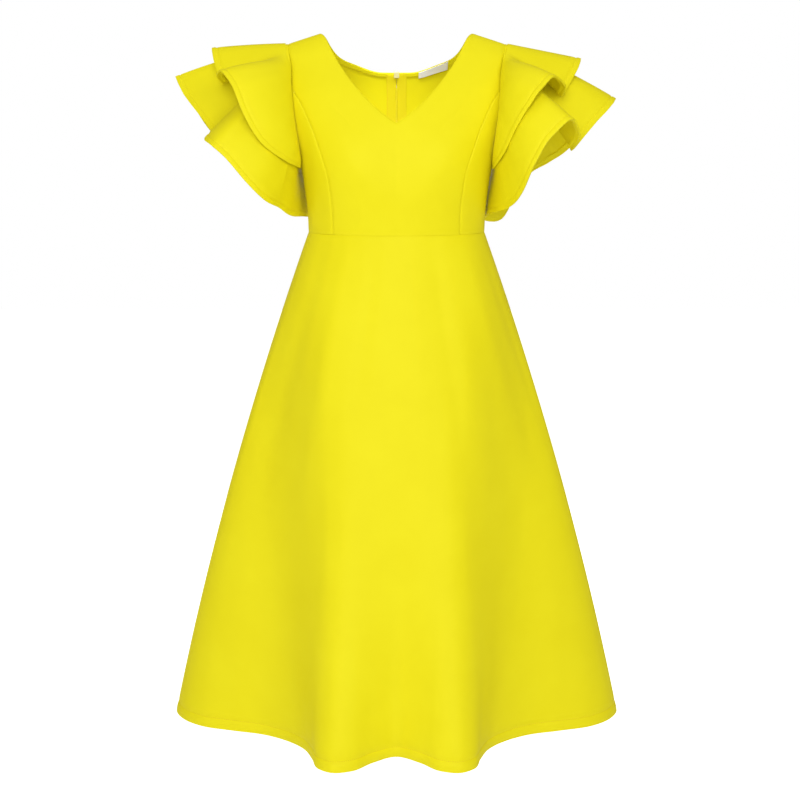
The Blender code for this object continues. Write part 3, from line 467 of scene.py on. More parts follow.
def centre_front(side):
    """Half of the centre front panel: centre line to princess seam and armhole."""
    top = joined(edge(NECK_FRONT, True), SHOULDER, NECK_SHARE)
    arm = lambda along: ARMHOLE[True](PRINCESS_ROUND * (1 - along))
    outer = joined(PRINCESS_SEAM, arm, PRINCESS_SHARE)
    inner = upright(90.0, NECK_FRONT[0][1])
    return panel((90.0, PRINCESS_TURN), top, inner, outer, True, side)


def side_front(side):
    """Princess seam to side seam, from the waist up to the lower armhole."""
    top = lambda along: ARMHOLE[True](PRINCESS_ROUND + (1 - PRINCESS_ROUND) * along)
    outer = upright(0.0, ARMHOLE_FRONT[-1][1])
    return panel((PRINCESS_TURN, 0.0), top, PRINCESS_SEAM, outer, True, side)


def half_back(side):
    """Centre back to side seam and armhole, from the waist up to neck and shoulder."""
    top = joined(edge(NECK_BACK, False), SHOULDER, NECK_SHARE)
    arm = lambda along: ARMHOLE[False](1 - along)
    outer = joined(upright(0.0, ARMHOLE_BACK[-1][1]), arm, SIDE_SHARE)
    return panel((90.0, 0.0), top, upright(90.0, NECK_BACK[0][1]), outer, False, side)


print("point of the V neck", centre_front(1.0)(np.zeros(1), np.ones(1)).round(4))

# %% [markdown]
# ## Panels of the skirt
# The skirt is a flared cone. Its hem is a long wavy line, and the waves fade out on the way
# up to the waist seam, as the folds of a flared skirt do. Each quarter is drawn between an
# oval at the waist and that line.

# %% Skirt curves
def read_line(places, values, at):
    """Points read from a line's points by their places along it."""
    return np.stack([np.interp(at, places, column) for column in values.T], axis=-1)


def by_length(dense):
    """A closely drawn plan curve, read by the share of its length."""
    length = lengths(dense)
    return lambda at: read_line(length / length[-1], dense, at)


def oval(half, ahead, y_side=0.0, count=200):
    """A quarter of an oval from its centre line to its side, read by length."""
    angle = np.linspace(0.0, math.pi / 2, count)
    y = y_side + (ahead - y_side) * np.cos(angle)
    return by_length(np.stack([half * np.sin(angle), y], axis=1))


def hem_curve(rows):
    """The folded hem of one quarter. Mirror rows past both ends keep its ends square."""
    before = rows[1] * [-1.0, 1.0]
    after = [rows[-2][0], 2 * rows[-1][1] - rows[-2][1]]
    full = np.vstack([before, rows, after])
    chord = lengths(full)
    return by_length(through(chord, full, np.linspace(chord[1], chord[-2], 600)))


print("front hem half way to the side seam", hem_curve(HEM_FRONT)(np.array(0.5)).round(4))

# %% Skirt panels
WAIST_HALF, WAIST_AHEAD, WAIST_BEHIND = BODY_LEVELS[-1][1:4]
FOLDED_SQUARE = 10       # how squarely the folded cloth turns the corner to the side seam


def skirt_quarter(rows, waist_depth, plain_depth, side, fold):
    """A quarter of the skirt: u from the centre to the side seam, v from waist to hem."""
    side_x, side_y = rows[-1]
    waist = oval(WAIST_HALF, waist_depth)
    plain = oval(side_x, plain_depth, side_y)
    folded = hem_curve(rows)

    def surface(u, v):
        down = v[..., None]
        out = down + SKIRT_SWELL * down * (1 - down)
        plan = waist(u) * (1 - out) + plain(u) * out
        out = out[..., 0]
        middle, half = (
            top * (1 - out) + low * out
            for top, low in ((waist_depth, plain_depth), (WAIST_HALF, side_x)))
        side_edge = side_y * out
        behind = through(*FOLD_LINES.T, plan[..., 0]) * fold
        turn = np.sqrt(np.clip(1 - (plan[..., 0] / half) ** FOLDED_SQUARE, 0.0, 1.0))
        hung = side_edge + (middle - behind - side_edge) * turn
        formed = np.clip(v / FOLDS_FULL, 0.0, 1.0)
        formed = formed * formed * (3 - 2 * formed)
        plan[..., 1] += (hung - plan[..., 1]) * formed
        straight_down = np.stack([plain(u)[..., 0], plan[..., 1]], axis=-1)
        plan = plan + (folded(u) - straight_down) * np.abs(down) ** HEM_REACH
        z = WAIST_Z + (HEM_Z - WAIST_Z) * v
        return np.stack([side * plan[..., 0], plan[..., 1], z], axis=-1)
    return surface


def skirt_back(side):
    rows = HEM_BACK_RIGHT if side > 0 else HEM_BACK_LEFT
    return skirt_quarter(rows, WAIST_BEHIND, HEM_PLAIN_BACK, side, FOLD_BACK)


skirt_front = mirrored(skirt_quarter(HEM_FRONT, -WAIST_AHEAD, -HEM_PLAIN_FRONT, 1.0, -1.0))
print("middle of the front hem", skirt_front(np.zeros(1), np.ones(1)).round(4))

# %% Strip along the zip
ZIP_ON_SKIRT = (ZIP_END_Z - WAIST_Z) / (HEM_Z - WAIST_Z)
ZIP_SHARE = 0.41         # of the tape's length that lies on the skirt


def zip_strip(side):
    """The centre back from the end of the zip, over the waist seam, up to the neck."""
    bodice = half_back(side)
    skirt = skirt_back(side)
    step = 0.01

    def surface(u, v):
        up = np.clip((v - ZIP_SHARE) / (1 - ZIP_SHARE), 0.0, 1.0)
        down = ZIP_ON_SKIRT * np.clip(1 - v / ZIP_SHARE, 0.0, 1.0)
        first = skirt(np.full_like(down, step), down) - skirt(np.zeros_like(down), down)
        reach = np.linalg.norm(first, axis=-1) / step
        across = WAIST_HALF * np.sin(math.pi / 2 * u) / reach
        on_skirt = (v < ZIP_SHARE)[..., None]
        return np.where(on_skirt, skirt(across, down), bodice(u, up))
    return surface


print("the zip ends at", round(ZIP_ON_SKIRT, 3), "of the way down the skirt")

# %% [markdown]
# ## Flounces
# A flounce is cut as a ring whose inner edge is the length of the armhole and whose outer
# edge is much longer. Sewn in, the outer edge has nowhere to go but into flutes. Each is a
# ruled surface from the armhole to a fluted hem, arched a little on the way.

# %% Flounce surfaces
STEP = 1e-3              # a small step, to read the slope of a curve or a surface


def both_halves(around, value):
    """A value read in front where around is 0 or more, and behind where it is less."""
    places = [np.moveaxis(ARMHOLE[front](np.abs(around)), -1, 0) for front in (True, False)]
    return np.where((around >= 0)[..., None], value(*places[0], True), value(*places[1], False))


def armhole_points(side, around):
    """The armhole edge, around from -1 (underarm, behind) over 0 to 1 (underarm)."""
    return both_halves(around, lambda turn, down, front: body(turn, down, front, side))


def outside(side, around):
    """The bodice's outward normal along the armhole."""
    def out(turn, down, front):
        fall = body(turn, down + STEP, front, side) - body(turn, down - STEP, front, side)
        across = body(turn + STEP, down, front, side) - body(turn - STEP, down, front, side)
        return np.cross(fall, across) * (-side if front else side)
    return unit(both_halves(around, out))


def hem_rows(rows, side):
    """The hem of a flounce and its arch, at any place round the armhole."""
    def curve(around):
        out, y, z, arch = np.moveaxis(through(rows[:, 0], rows[:, 1:], around), -1, 0)
        return np.stack([side * out, y, z], axis=-1), arch
    return curve


def flounce(hem_at, side, start):
    """A flounce from its start curve to its hem, arched outwards between the two."""
    def surface(around, v):
        hem, arch = hem_at(around)
        root = start(around)
        away = unit(side * np.cross(start(around + STEP) - start(around - STEP), hem - root))
        swell = (4 * v * (1 - v) * arch)[..., None]
        return root + (hem - root) * v[..., None] + away * swell
    return surface


def lower_flounce(side):
    """Its root meets the armhole's edge over the shoulder. Lower down the cloth turns back
    over the bodice, so there the root is lifted just clear of the bodice's outside."""
    hem = hem_rows(LOWER_RIGHT if side > 0 else LOWER_LEFT, side)

    def start(around):
        seam = armhole_points(side, around)
        along = armhole_points(side, around + STEP) - armhole_points(side, around - STEP)
        face = unit(side * np.cross(along, hem(around)[0] - seam))
        out = outside(side, around)
        same = np.sum(face * out, axis=-1)
        lap = np.clip((np.abs(around) - LAP_FROM) / (LAP_FULL - LAP_FROM), 0.0, 1.0)
        under = WALL * np.clip(same, 0.0, 1.0) + (WALL + 2 * SEAM) * np.clip(-same, 0.0, 1.0)
        lift = (SEAM + under) * lap * lap * (3 - 2 * lap)
        return seam + out * lift[..., None]
    return flounce(hem, side, start)


def upper_flounce(side):
    """Laid on the lower tier: it starts on that tier's points moved out."""
    hem = hem_rows(UPPER_RIGHT if side > 0 else UPPER_LEFT, side)
    under = lower_flounce(side)

    def start(around):
        where = np.full_like(around, TIER_START)
        points, out = points_and_normals(under, around, where, side < 0)
        return points + out * (WALL + SEAM)
    return flounce(hem, side, start)


print("tip of the right shoulder", armhole_points(1.0, np.zeros(1)).round(4))

# %% Normals of a surface
def points_and_normals(surface, u, v, turned):
    """Points of a surface and its unit normals, the other way round when turned."""
    step = STEP / 10
    along = surface(u + step, v) - surface(u - step, v)
    up = surface(u, np.minimum(v + step, 1.0)) - surface(u, np.maximum(v - step, 0.0))
    normal = unit(np.cross(along, up))
    return surface(u, v), -normal if turned else normal

# %% [markdown]
# ## From a surface to a sheet of cloth
# A cloth piece is a grid primitive whose points are moved onto its surface. Its stations
# lie a few millimetres apart, and closer along a sewn edge, where the cloth rolls inwards
# and leaves the fine valley that shows as a seam. A groove marks each line of stitching,
# and soft troughs and ridges make the creases. Solidify then gives the
# knit its thickness, thicker where a hem is turned up, and Bevel rounds the cut edges.

# %% Stations along an edge
NEAR_SEAM = (0.0007, 0.0015, 0.0025, 0.0040)
NEAR_MARK = (-0.0016, -0.0008, 0.0, 0.0008, 0.0016)
CLOSEST = 0.0004


def shares(length, step, start=False, end=False, marks=()):
    """Stations along an edge, as shares of its length, closer by a sewn end or a mark."""
    places = list(np.linspace(0.0, length, max(2, round(length / step)) + 1))
    places += list(NEAR_SEAM) if start else []
    places += [length - near for near in NEAR_SEAM] if end else []
    for mark in marks:
        places += [mark + off for off in NEAR_MARK]
    kept = [0.0]
    for place in sorted(places):
        if kept[-1] + CLOSEST < place < length - CLOSEST:
            kept.append(place)
    return np.array(kept + [length]) / length


def between(low, high, parts):
    """Stations shared out from 0 to 1, moved to run from low to high."""
    return low + (high - low) * parts


def in_two(share, first, second):
    """Stations of an edge of two parts that meet at a share of it."""
    return np.concatenate([first * share, between(share, 1.0, second)[1:]])


print("stations on a 20 mm edge", len(shares(0.020, 0.004, start=True)))

# %% Creases
CREASE_ENDS = 0.35       # how much of a crease's depth is left at its two ends


def creases(share_u, share_v, size, rows):
    """Soft troughs (below 0) and ridges: each row is a line across the piece, from one
    place to another as shares of its size, with a width and a depth in millimetres."""
    height = np.zeros_like(share_u)
    place = np.stack([share_u, share_v], axis=-1) * size
    for row in rows:
        start, end = np.reshape(row[:4], (2, 2)) * size
        width, depth = np.array(row[4:]) / 1000
        run = end - start
        part = np.clip((place - start) @ run / (run @ run), 0.0, 1.0)
        aside = np.linalg.norm(place - start - part[..., None] * run, axis=-1)
        fade = CREASE_ENDS + (1 - CREASE_ENDS) * np.sin(math.pi * part)
        height += depth * fade * np.exp(-(aside / width) ** 2)
    return height

# %% A sheet from a surface
HEM_THICK = 0.0030       # the knit doubled at a turned-up hem
GROOVE = 0.00090         # depth of a line of stitching
GROOVE_WIDE = 0.0014
HEM_PUFF = 0.0005        # how far a doubled hem swells between its stitches and its edge
ROLL_WIDE = 0.0021
WAIST_ROLL = 0.15        # the waist seam is pressed flatter than the upright ones
ROUNDED = 0.3            # of the thickness, how far a cut edge is rounded
SEAM_ROLL = 0.0010       # how deep the cloth rolls in at a seam
ZIP_ROLL = 0.0004        # the zip keeps its seam flatter than the others
ALL_ROUND = "low high start end"


def steps_along(points, axis):
    """Distance of each point of a grid from the grid's edge, along one axis."""
    steps = np.linalg.norm(np.diff(points, axis=axis), axis=-1)
    zero = np.zeros_like(np.take(steps, [0], axis=axis))
    return np.cumsum(np.concatenate([zero, steps], axis=axis), axis=axis)


def draw_in(layer, amount):
    """Pull the first row of a grid of points in, square to that edge."""
    along = unit(np.gradient(layer[0], axis=0))
    inward = layer[1] - layer[0]
    inward = inward - along * np.sum(inward * along, axis=-1, keepdims=True)
    layer[0] = layer[0] + unit(inward) * amount


def grid_on(name, points, flat):
    """A grid primitive laid on a grid of points, with its map in metres of flat cloth."""
    rows, columns = points.shape[:2]
    bpy.ops.object.select_all(action="DESELECT")
    bpy.ops.mesh.primitive_grid_add(
        x_subdivisions=columns - 1, y_subdivisions=rows - 1, size=2.0, calc_uvs=True)
    piece = bpy.context.object
    piece.name = name
    piece.data.name = name
    place = np.array([vertex.co[:2] for vertex in piece.data.vertices])
    column, row = np.rint((place + 1) / 2 * [columns - 1, rows - 1]).astype(int).T
    piece.data.vertices.foreach_set("co", points[row, column].ravel())
    corner = [loop.vertex_index for loop in piece.data.loops]
    layer = piece.data.uv_layers.active
    layer.name = "cloth"
    layer.data.foreach_set("uv", flat[row, column][corner].astype(np.float32).ravel())
    piece.data.update()
    return piece, row, column


def cloth(name, surface, us, vs, turned=False, thick=WALL, lift=0.0, sewn="", roll=0.0,
          hem=0.0, closed=False, marks=(), size=(1.0, 1.0), seam=SEAM):
    """One finished sheet. sewn names edges: low, high, start, end. hem is how much of the
    high edge is turned up, and closed says that the start meets the end."""
    if turned:
        us = us[::-1]
    u, v = np.meshgrid(us, vs)
    points, normal = points_and_normals(surface, u, v, turned)
    along = steps_along(points, 1)
    up = steps_along(points, 0)
    first = "end" if turned else "start"
    last = "start" if turned else "end"
    away = {first: along, last: along[:, -1:] - along, "low": up, "high": up[-1:] - up}
    height = np.full(u.shape, lift)
    for place in sewn.split():
        depth = roll * (WAIST_ROLL if place == "low" else 1.0)
        height -= depth * np.exp(-(away[place] / ROLL_WIDE) ** 2)
    if hem:
        height -= GROOVE * np.exp(-((away["high"] - hem) / GROOVE_WIDE) ** 2)
        height += HEM_PUFF * np.sin(math.pi * np.clip(away["high"] / hem, 0.0, 1.0))
    height += creases((u - us.min()) / np.ptp(us), (v - vs.min()) / np.ptp(vs), size, marks)
    points = points + normal * height[..., None]
    views = {"low": points, "high": points[::-1]}
    views[first] = points.transpose(1, 0, 2)
    views[last] = views[first][::-1]
    for place in sewn.split():
        draw_in(views[place], SEAM / 2 * WAIST_ROLL if place == "low" else seam / 2)
    if closed:
        half = SEAM / 2 * (-1.0 if turned else 1.0)
        points[:, 0, 1] = half
        points[:, -1, 1] = -half
    flat = np.stack([along - along[:, -1:] / 2, up], axis=-1)
    piece, row, column = grid_on(name, points, flat)
    solid = piece.modifiers.new("thickness", "SOLIDIFY")
    solid.thickness = thick
    solid.offset = -1.0
    if hem:
        group = piece.vertex_groups.new(name="turned_up")
        inside = away["high"][row, column] < hem + GROOVE_WIDE
        group.add([int(i) for i in np.nonzero(inside)[0]], 1.0, "REPLACE")
        solid.thickness = HEM_THICK
        solid.vertex_group = group.name
        solid.thickness_vertex_group = thick / HEM_THICK
    bpy.ops.object.modifier_apply(modifier=solid.name)
    rounding = piece.modifiers.new("rounded_edges", "BEVEL")
    rounding.width = thick * ROUNDED
    rounding.segments = 2
    rounding.limit_method = "ANGLE"
    rounding.angle_limit = math.radians(50.0)
    bpy.ops.object.modifier_apply(modifier=rounding.name)
    bpy.ops.object.shade_smooth()
    grid = {"points": points, "normal": unit(normal), "away": away}
    print(name, len(piece.data.polygons), "faces")
    return piece, grid

# %% [markdown]
# ## The knit and the other finishes
# The dress is a smooth, dense double knit. Up close it has fine ribs of small stitches,
# from farther off only a soft, even yellow with a faint bloom at grazing light. The rib
# pattern is a node group that both the knit and the zip's tape use, each at its own scale.
# It reads the flat map in metres, so it follows the cloth through every fold.

# %% Shared node groups
def new_group(name, scales, result):
    """A group that takes a map and some scales, and gives one value from 0 to 1."""
    group = bpy.data.node_groups.new(name, "ShaderNodeTree")
    group.interface.new_socket("Map", in_out="INPUT", socket_type="NodeSocketVector")
    for label, value in scales.items():
        socket = group.interface.new_socket(label, in_out="INPUT", socket_type="NodeSocketFloat")
        socket.default_value = value
    group.interface.new_socket(result, in_out="OUTPUT", socket_type="NodeSocketFloat")
    return group, group.nodes.new("NodeGroupInput"), group.nodes.new("NodeGroupOutput")


def ribs_group():
    """The height of ribs of small stitches."""
    group, inside, out = new_group("ribs", {"Rib Scale": 350.0, "Row Scale": 280.0}, "Height")
    waves = []
    for direction, scale, twist in (("X", "Rib Scale", 0.6), ("Y", "Row Scale", 1.2)):
        wave = add_node(group, "TexWave", {
            "Vector": inside.outputs["Map"], "Scale": inside.outputs[scale],
            "Distortion": twist, "Detail": 0.0}, wave_type="BANDS", bands_direction=direction)
        waves.append(wave.outputs["Fac"])
    total = waves[1]
    for operation, value in (("MULTIPLY", 0.45), ("ADD", waves[0]), ("MULTIPLY", 0.69)):
        total = add_node(group, "Math", {0: total, 1: value}, operation=operation).outputs[0]
    group.links.new(total, out.inputs["Height"])
    return group


def mottle_group():
    """The slow, faint unevenness of a dyed cloth."""
    group, inside, out = new_group("mottle", {"Scale": 9.0}, "Mask")
    noise = add_node(group, "TexNoise", {
        "Vector": inside.outputs["Map"], "Scale": inside.outputs["Scale"],
        "Detail": 3.0, "Roughness": 0.55})
    spread = add_node(group, "MapRange", {
        "Value": noise.outputs["Fac"], "From Min": 0.32, "From Max": 0.68})
    group.links.new(spread.outputs["Result"], out.inputs["Mask"])
    return group


RIBS = ribs_group()
MOTTLE = mottle_group()
print("groups", RIBS.name, MOTTLE.name)

# %% Materials
def finish(name, tones, rough, relief, scale, ribs=(), sheen=0.0):
    """A finish of two close tones with a fine relief. With ribs it is cloth, patterned on
    the piece's flat map. Without, it is thread or enamel, patterned on the object."""
    tones = [(*tone, 1.0) for tone in tones]
    made, inputs = plain_material(name, tones[0], rough)
    tree = made.node_tree
    if ribs:
        inputs["Sheen Weight"].default_value = sheen
        inputs["Sheen Roughness"].default_value = 0.45
        inputs["Sheen Tint"].default_value = tones[1]
        inputs["Specular IOR Level"].default_value = 0.20
        where = add_node(tree, "UVMap", {}, uv_map="cloth").outputs["UV"]
    else:
        where = add_node(tree, "TexCoord", {}).outputs["Object"]
    mottle = add_node(tree, "Group", {"Map": where, "Scale": scale}, node_tree=MOTTLE)
    mask = height = mottle.outputs["Mask"]
    if ribs:
        values = {"Map": where, "Rib Scale": ribs[0], "Row Scale": ribs[1]}
        height = add_node(tree, "Group", values, node_tree=RIBS).outputs["Height"]
    two_tone(tree, mask, *tones, inputs["Base Color"])
    bump = add_node(
        tree, "Bump", {"Height": height, "Strength": relief[0], "Distance": relief[1]})
    tree.links.new(bump.outputs["Normal"], inputs["Normal"])
    return made


KNIT = finish("yellow_knit", ((0.880, 0.800, 0.007), (0.905, 0.830, 0.010)), 0.62,
              (0.35, 0.00012), 9.0, (350.0, 280.0), 0.06)
TAPE = finish("zip_tape", ((0.87, 0.75, 0.010), (0.90, 0.79, 0.014)), 0.65,
              (0.5, 0.00015), 9.0, (520.0, 900.0), 0.04)
RIBBON = finish("label_ribbon", ((0.88, 0.89, 0.97), (0.91, 0.92, 0.99)), 0.48,
                (0.4, 0.00008), 9.0, (900.0, 700.0), 0.15)
THREAD = finish("yellow_thread", ((0.80, 0.66, 0.010), (0.90, 0.77, 0.012)), 0.55,
                (0.3, 0.0001), 300.0)
ENAMEL = finish("zip_enamel", ((0.95, 0.91, 0.50), (0.97, 0.94, 0.62)), 0.38,
                (0.06, 0.0001), 400.0)
# Thread darkened to orange-brown: painted shade, standing for shadow and warm bounce along
# stitched edges.
PAINTED_SHADE_THREAD = finish("painted_shade_thread", ((0.72, 0.44, 0.010), (0.80, 0.53, 0.012)), 0.60,
                     (0.3, 0.0001), 300.0)
COIL = finish("zip_coil", ((0.90, 0.79, 0.020), (0.94, 0.84, 0.030)), 0.50,
              (0.1, 0.0001), 500.0)
print("materials", [m.name for m in (KNIT, TAPE, RIBBON, THREAD, PAINTED_SHADE_THREAD, COIL, ENAMEL)])

# %% Putting a piece in the place of the frame's parts
SIDES = ((-1.0, "left"), (1.0, "right"))


def finish_piece(piece, material, nodes=()):
    piece.data.materials.clear()
    piece.data.materials.append(material)
    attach(piece, "dress")
    if nodes:
        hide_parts(*nodes)


def finish_sheet(piece, node, flat, area, material=KNIT):
    """Put a sheet in the place of a node. Its size laid flat, flat and area, is not used."""
    finish_piece(piece, material, [node])

# %% [markdown]
# ## Centre front of the bodice
# One panel with the V neck. On a real dress it would be cut on the fold and its neck edge
# faced. Here it is the front patch mirrored about the centre line, with the points closer
# together along the princess seams, the shoulders and the waist.

# %% Centre front
FRONT_HALF = in_two(NECK_SHARE, shares(0.130, 0.0040), shares(0.050, 0.0040, end=True))
FRONT_COLUMNS = np.concatenate([-FRONT_HALF[:0:-1], FRONT_HALF])
FRONT_ROWS = in_two(
    PRINCESS_SHARE, shares(0.215, 0.0042, start=True), shares(0.080, 0.0042, end=True))
FRONT_MARKS = (
    # u0, v0, u1, v1, width, depth
    (0.2, 0.5, 0.34, 0.8, 16, -1.2), (0.8, 0.52, 0.67, 0.8, 15, -1),
    (0.12, 0.36, 0.4, 0.3, 20, 1), (0.88, 0.34, 0.62, 0.27, 22, 0.9),
    (0.38, 0.02, 0.42, 0.22, 11, -0.8), (0.61, 0.02, 0.58, 0.17, 10, -0.7),
    (0.22, 0.01, 0.25, 0.15, 10, 0.7), (0.77, 0.01, 0.74, 0.18, 12, -0.7),
)
piece, grid = cloth(
    "centre_front", mirrored(centre_front(1.0)), FRONT_COLUMNS, FRONT_ROWS,
    sewn=ALL_ROUND, roll=SEAM_ROLL, marks=FRONT_MARKS, size=(0.30, 0.26))
finish_sheet(piece, "bodice_front_centre", (0.345, 0.310), 0.063)

# %% [markdown]
# ## Side fronts and backs of the bodice
# The side fronts run from the princess seam to the side seam. Each back runs from the zip
# to the side seam and up to the armhole, the shoulder and the back neck.

# %% Side fronts
SIDE_COLUMNS = shares(0.085, 0.0040, start=True, end=True)
SIDE_ROWS = shares(0.150, 0.0042, start=True, end=True)
SIDE_MARKS = {
    "left": ((0.3, 0.98, 0.55, 0.6, 12, -0.9), (0.62, 0.05, 0.5, 0.4, 10, 0.8),
             (0.25, 0.04, 0.28, 0.3, 9, -0.6)),
    "right": ((0.35, 0.97, 0.6, 0.66, 13, -0.8), (0.7, 0.04, 0.56, 0.34, 11, 0.7),
              (0.3, 0.03, 0.34, 0.26, 9, -0.6)),
}
for side, name in SIDES:
    piece, grid = cloth(
        f"side_front_{name}", side_front(side), SIDE_COLUMNS, SIDE_ROWS, turned=side < 0,
        sewn=ALL_ROUND, roll=SEAM_ROLL, marks=SIDE_MARKS[name], size=(0.07, 0.16))
    finish_sheet(piece, f"bodice_front_side_{name}", (0.090, 0.215), 0.0138)

# %% Backs
BACK_COLUMNS = in_two(
    NECK_SHARE, shares(0.135, 0.0040, start=True), shares(0.050, 0.0040, end=True))
BACK_ROWS = in_two(
    SIDE_SHARE, shares(0.100, 0.0042, start=True), shares(0.235, 0.0042, end=True))
BACK_MARKS = {
    "left": ((0.1, 0.08, 0.55, 0.22, 16, 1.2), (0.15, 0.22, 0.6, 0.34, 18, -1.1),
             (0.7, 0.55, 0.45, 0.8, 18, -1), (0.3, 0.01, 0.33, 0.12, 9, -0.7)),
    "right": ((0.08, 0.12, 0.5, 0.24, 17, 1.1), (0.12, 0.26, 0.55, 0.4, 19, -1.2),
              (0.72, 0.5, 0.5, 0.78, 17, -0.9), (0.36, 0.01, 0.38, 0.1, 9, -0.6)),
}
for side, name in SIDES:
    piece, grid = cloth(
        f"back_{name}", half_back(side), BACK_COLUMNS, BACK_ROWS, turned=side > 0,
        sewn=ALL_ROUND, roll=ZIP_ROLL, marks=BACK_MARKS[name], size=(0.14, 0.26))
    finish_sheet(piece, f"bodice_back_{name}", (0.190, 0.310), 0.047)

# %% [markdown]
# ## Stitches
# A stitch is a short length of thread that dips into the cloth at both ends. One is
# modelled from a cylinder with its ends drawn in, and then copied along the line of
# stitching, a little apart, each copy turned to follow the cloth.

# %% One stitch and a line of stitches
STITCH_LONG = 0.0024
STITCH_GAP = 0.0009
THREAD_RADIUS = 0.00034
STITCH_DIP = THREAD_RADIUS * 1.6


def taken(model):
    """The points and faces of a small model, which is then put away."""
    points = np.array([v.co for v in model.data.vertices])
    faces = [tuple(face.vertices) for face in model.data.polygons]
    bpy.data.objects.remove(model)
    return points, faces


def one_stitch():
    """Points and faces of one stitch along X, its middle at the origin."""
    bpy.ops.object.select_all(action="DESELECT")
    bpy.ops.mesh.primitive_cylinder_add(
        vertices=6, radius=THREAD_RADIUS, depth=STITCH_LONG * 0.7,
        rotation=(0.0, math.pi / 2, 0.0))
    thread = bpy.context.object
    bpy.ops.object.transform_apply(rotation=True)
    bpy.ops.object.mode_set(mode="EDIT")
    bpy.ops.mesh.select_mode(type="FACE")
    bpy.ops.mesh.select_all(action="DESELECT")
    bpy.ops.object.mode_set(mode="OBJECT")
    for face in thread.data.polygons:
        face.select = abs(face.normal.x) > 0.9
    bpy.ops.object.mode_set(mode="EDIT")
    bpy.ops.mesh.inset(thickness=THREAD_RADIUS * 0.4, depth=STITCH_LONG * 0.15)
    bpy.ops.object.mode_set(mode="OBJECT")
    points, faces = taken(thread)
    points[:, 2] -= STITCH_DIP * (points[:, 0] / (STITCH_LONG / 2)) ** 2
    return points, faces


STITCH = one_stitch()


def copies_along(name, shape, line, normals, pitch):
    """Copies of a small shape along a line of points, standing on the cloth's normals."""
    points, faces = shape
    length = lengths(line)
    near = pitch / 4
    at = np.arange(pitch / 2, length[-1] - pitch / 2, pitch)
    middle, after, before = (read_line(length, line, at + off) for off in (0, near, -near))
    ahead = unit(after - before)
    up = unit(read_line(length, normals, at))
    up = unit(up - ahead * np.sum(up * ahead, axis=1, keepdims=True))
    turn = np.stack([ahead, np.cross(up, ahead), up], axis=2)
    placed = middle[:, None] + np.einsum("nij,pj->npi", turn, points)
    many = [tuple(i + k * len(points) for i in face) for k in range(len(at)) for face in faces]
    mesh = bpy.data.meshes.new(name)
    mesh.from_pydata(placed.reshape(-1, 3).tolist(), [], many)
    mesh.update()
    print(name, len(at), "copies")
    return put(name, mesh)


def line_on(grid, place, distance, inside=0.0):
    """The line on a sheet's grid at one distance from an edge, and the normals there."""
    points, normal, away = grid["points"], grid["normal"], grid["away"][place]
    if place in ("start", "end"):
        points, normal, away = (a.swapaxes(0, 1) for a in (points, normal, away))
    line, turned = [], []
    for column in range(points.shape[1]):
        order = np.argsort(away[:, column])
        for values, target in ((points, line), (normal, turned)):
            target.append(read_line(away[order, column], values[order, column], distance))
    line, turned = np.array(line), unit(np.array(turned))
    return (line - turned * inside, -turned) if inside else (line, turned)


def stitch_line(name, grid, place, distance, thread=THREAD, inside=0.0):
    line, normals = line_on(grid, place, distance, inside)
    made = copies_along(name, STITCH, line, normals, STITCH_LONG + STITCH_GAP)
    finish_piece(made, thread)

# %% [markdown]
# ## Skirt
# Three flared panels hang from the waist seam. The hem is turned up by 16 mm and stitched,
# so the cloth is double there and a fine line runs round above the edge. The deep folds
# are in the surface: straight and shallow half way down, and following the wavy hem below.
# Softer ones, uneven, run down from the waist.

# %% Skirt front
SKIRT_HEM = 0.0160
SKIRT_ROWS = shares(0.800, 0.0085, start=True, marks=(0.800 - SKIRT_HEM,))
SKIRT_COLUMNS = shares(1.000, 0.0062, start=True, end=True) * 2 - 1
SKIRT_MARKS = (
    (0.2, 0.02, 0.17, 0.55, 30, -3), (0.31, 0.03, 0.29, 0.6, 26, 2.6),
    (0.42, 0.02, 0.4, 0.34, 20, -1.8), (0.55, 0.03, 0.56, 0.45, 24, 1.8),
    (0.64, 0.02, 0.67, 0.62, 26, -3), (0.78, 0.04, 0.82, 0.58, 30, 2.8),
    (0.88, 0.02, 0.93, 0.4, 24, -1.8), (0.09, 0.05, 0.06, 0.5, 26, 2),
)
piece, grid = cloth(
    "skirt_front_sheet", skirt_front, SKIRT_COLUMNS, SKIRT_ROWS, turned=True,
    sewn="low start end", roll=SEAM_ROLL, marks=SKIRT_MARKS, size=(0.80, 0.80),
    hem=SKIRT_HEM, seam=0.0)
finish_sheet(piece, "skirt_front", (1.130, 0.830), 0.530)
# The hem stitches take the darkened thread: painted shade along the stitch line.
stitch_line("stitches_skirt_front", grid, "high", SKIRT_HEM, PAINTED_SHADE_THREAD)

# %% Skirt backs
SKIRT_BACK_COLUMNS = shares(0.500, 0.0062, start=True, end=True)
SKIRT_BACK_MARKS = {
    "left": ((0.25, 0.03, 0.28, 0.6, 26, 3.6), (0.45, 0.02, 0.5, 0.66, 24, -3.4),
             (0.7, 0.04, 0.76, 0.52, 28, 3), (0.86, 0.3, 0.84, 0.92, 30, -2.6)),
    "right": ((0.3, 0.03, 0.33, 0.64, 24, -3.6), (0.52, 0.02, 0.58, 0.7, 28, 3.4),
              (0.76, 0.03, 0.8, 0.46, 24, -2.6), (0.18, 0.34, 0.16, 0.9, 30, 2.4)),
}
for side, name in SIDES:
    piece, grid = cloth(
        f"skirt_back_{name}_sheet", skirt_back(side), SKIRT_BACK_COLUMNS, SKIRT_ROWS,
        turned=side < 0, sewn="low start end", roll=ZIP_ROLL, marks=SKIRT_BACK_MARKS[name],
        size=(0.40, 0.80), hem=SKIRT_HEM, seam=0.0)
    finish_sheet(piece, f"skirt_back_{name}", (0.570, 0.830), 0.262)
    # The hem stitches take the darkened thread: painted shade along the stitch line.
    stitch_line(f"stitches_skirt_back_{name}", grid, "high", SKIRT_HEM, PAINTED_SHADE_THREAD)

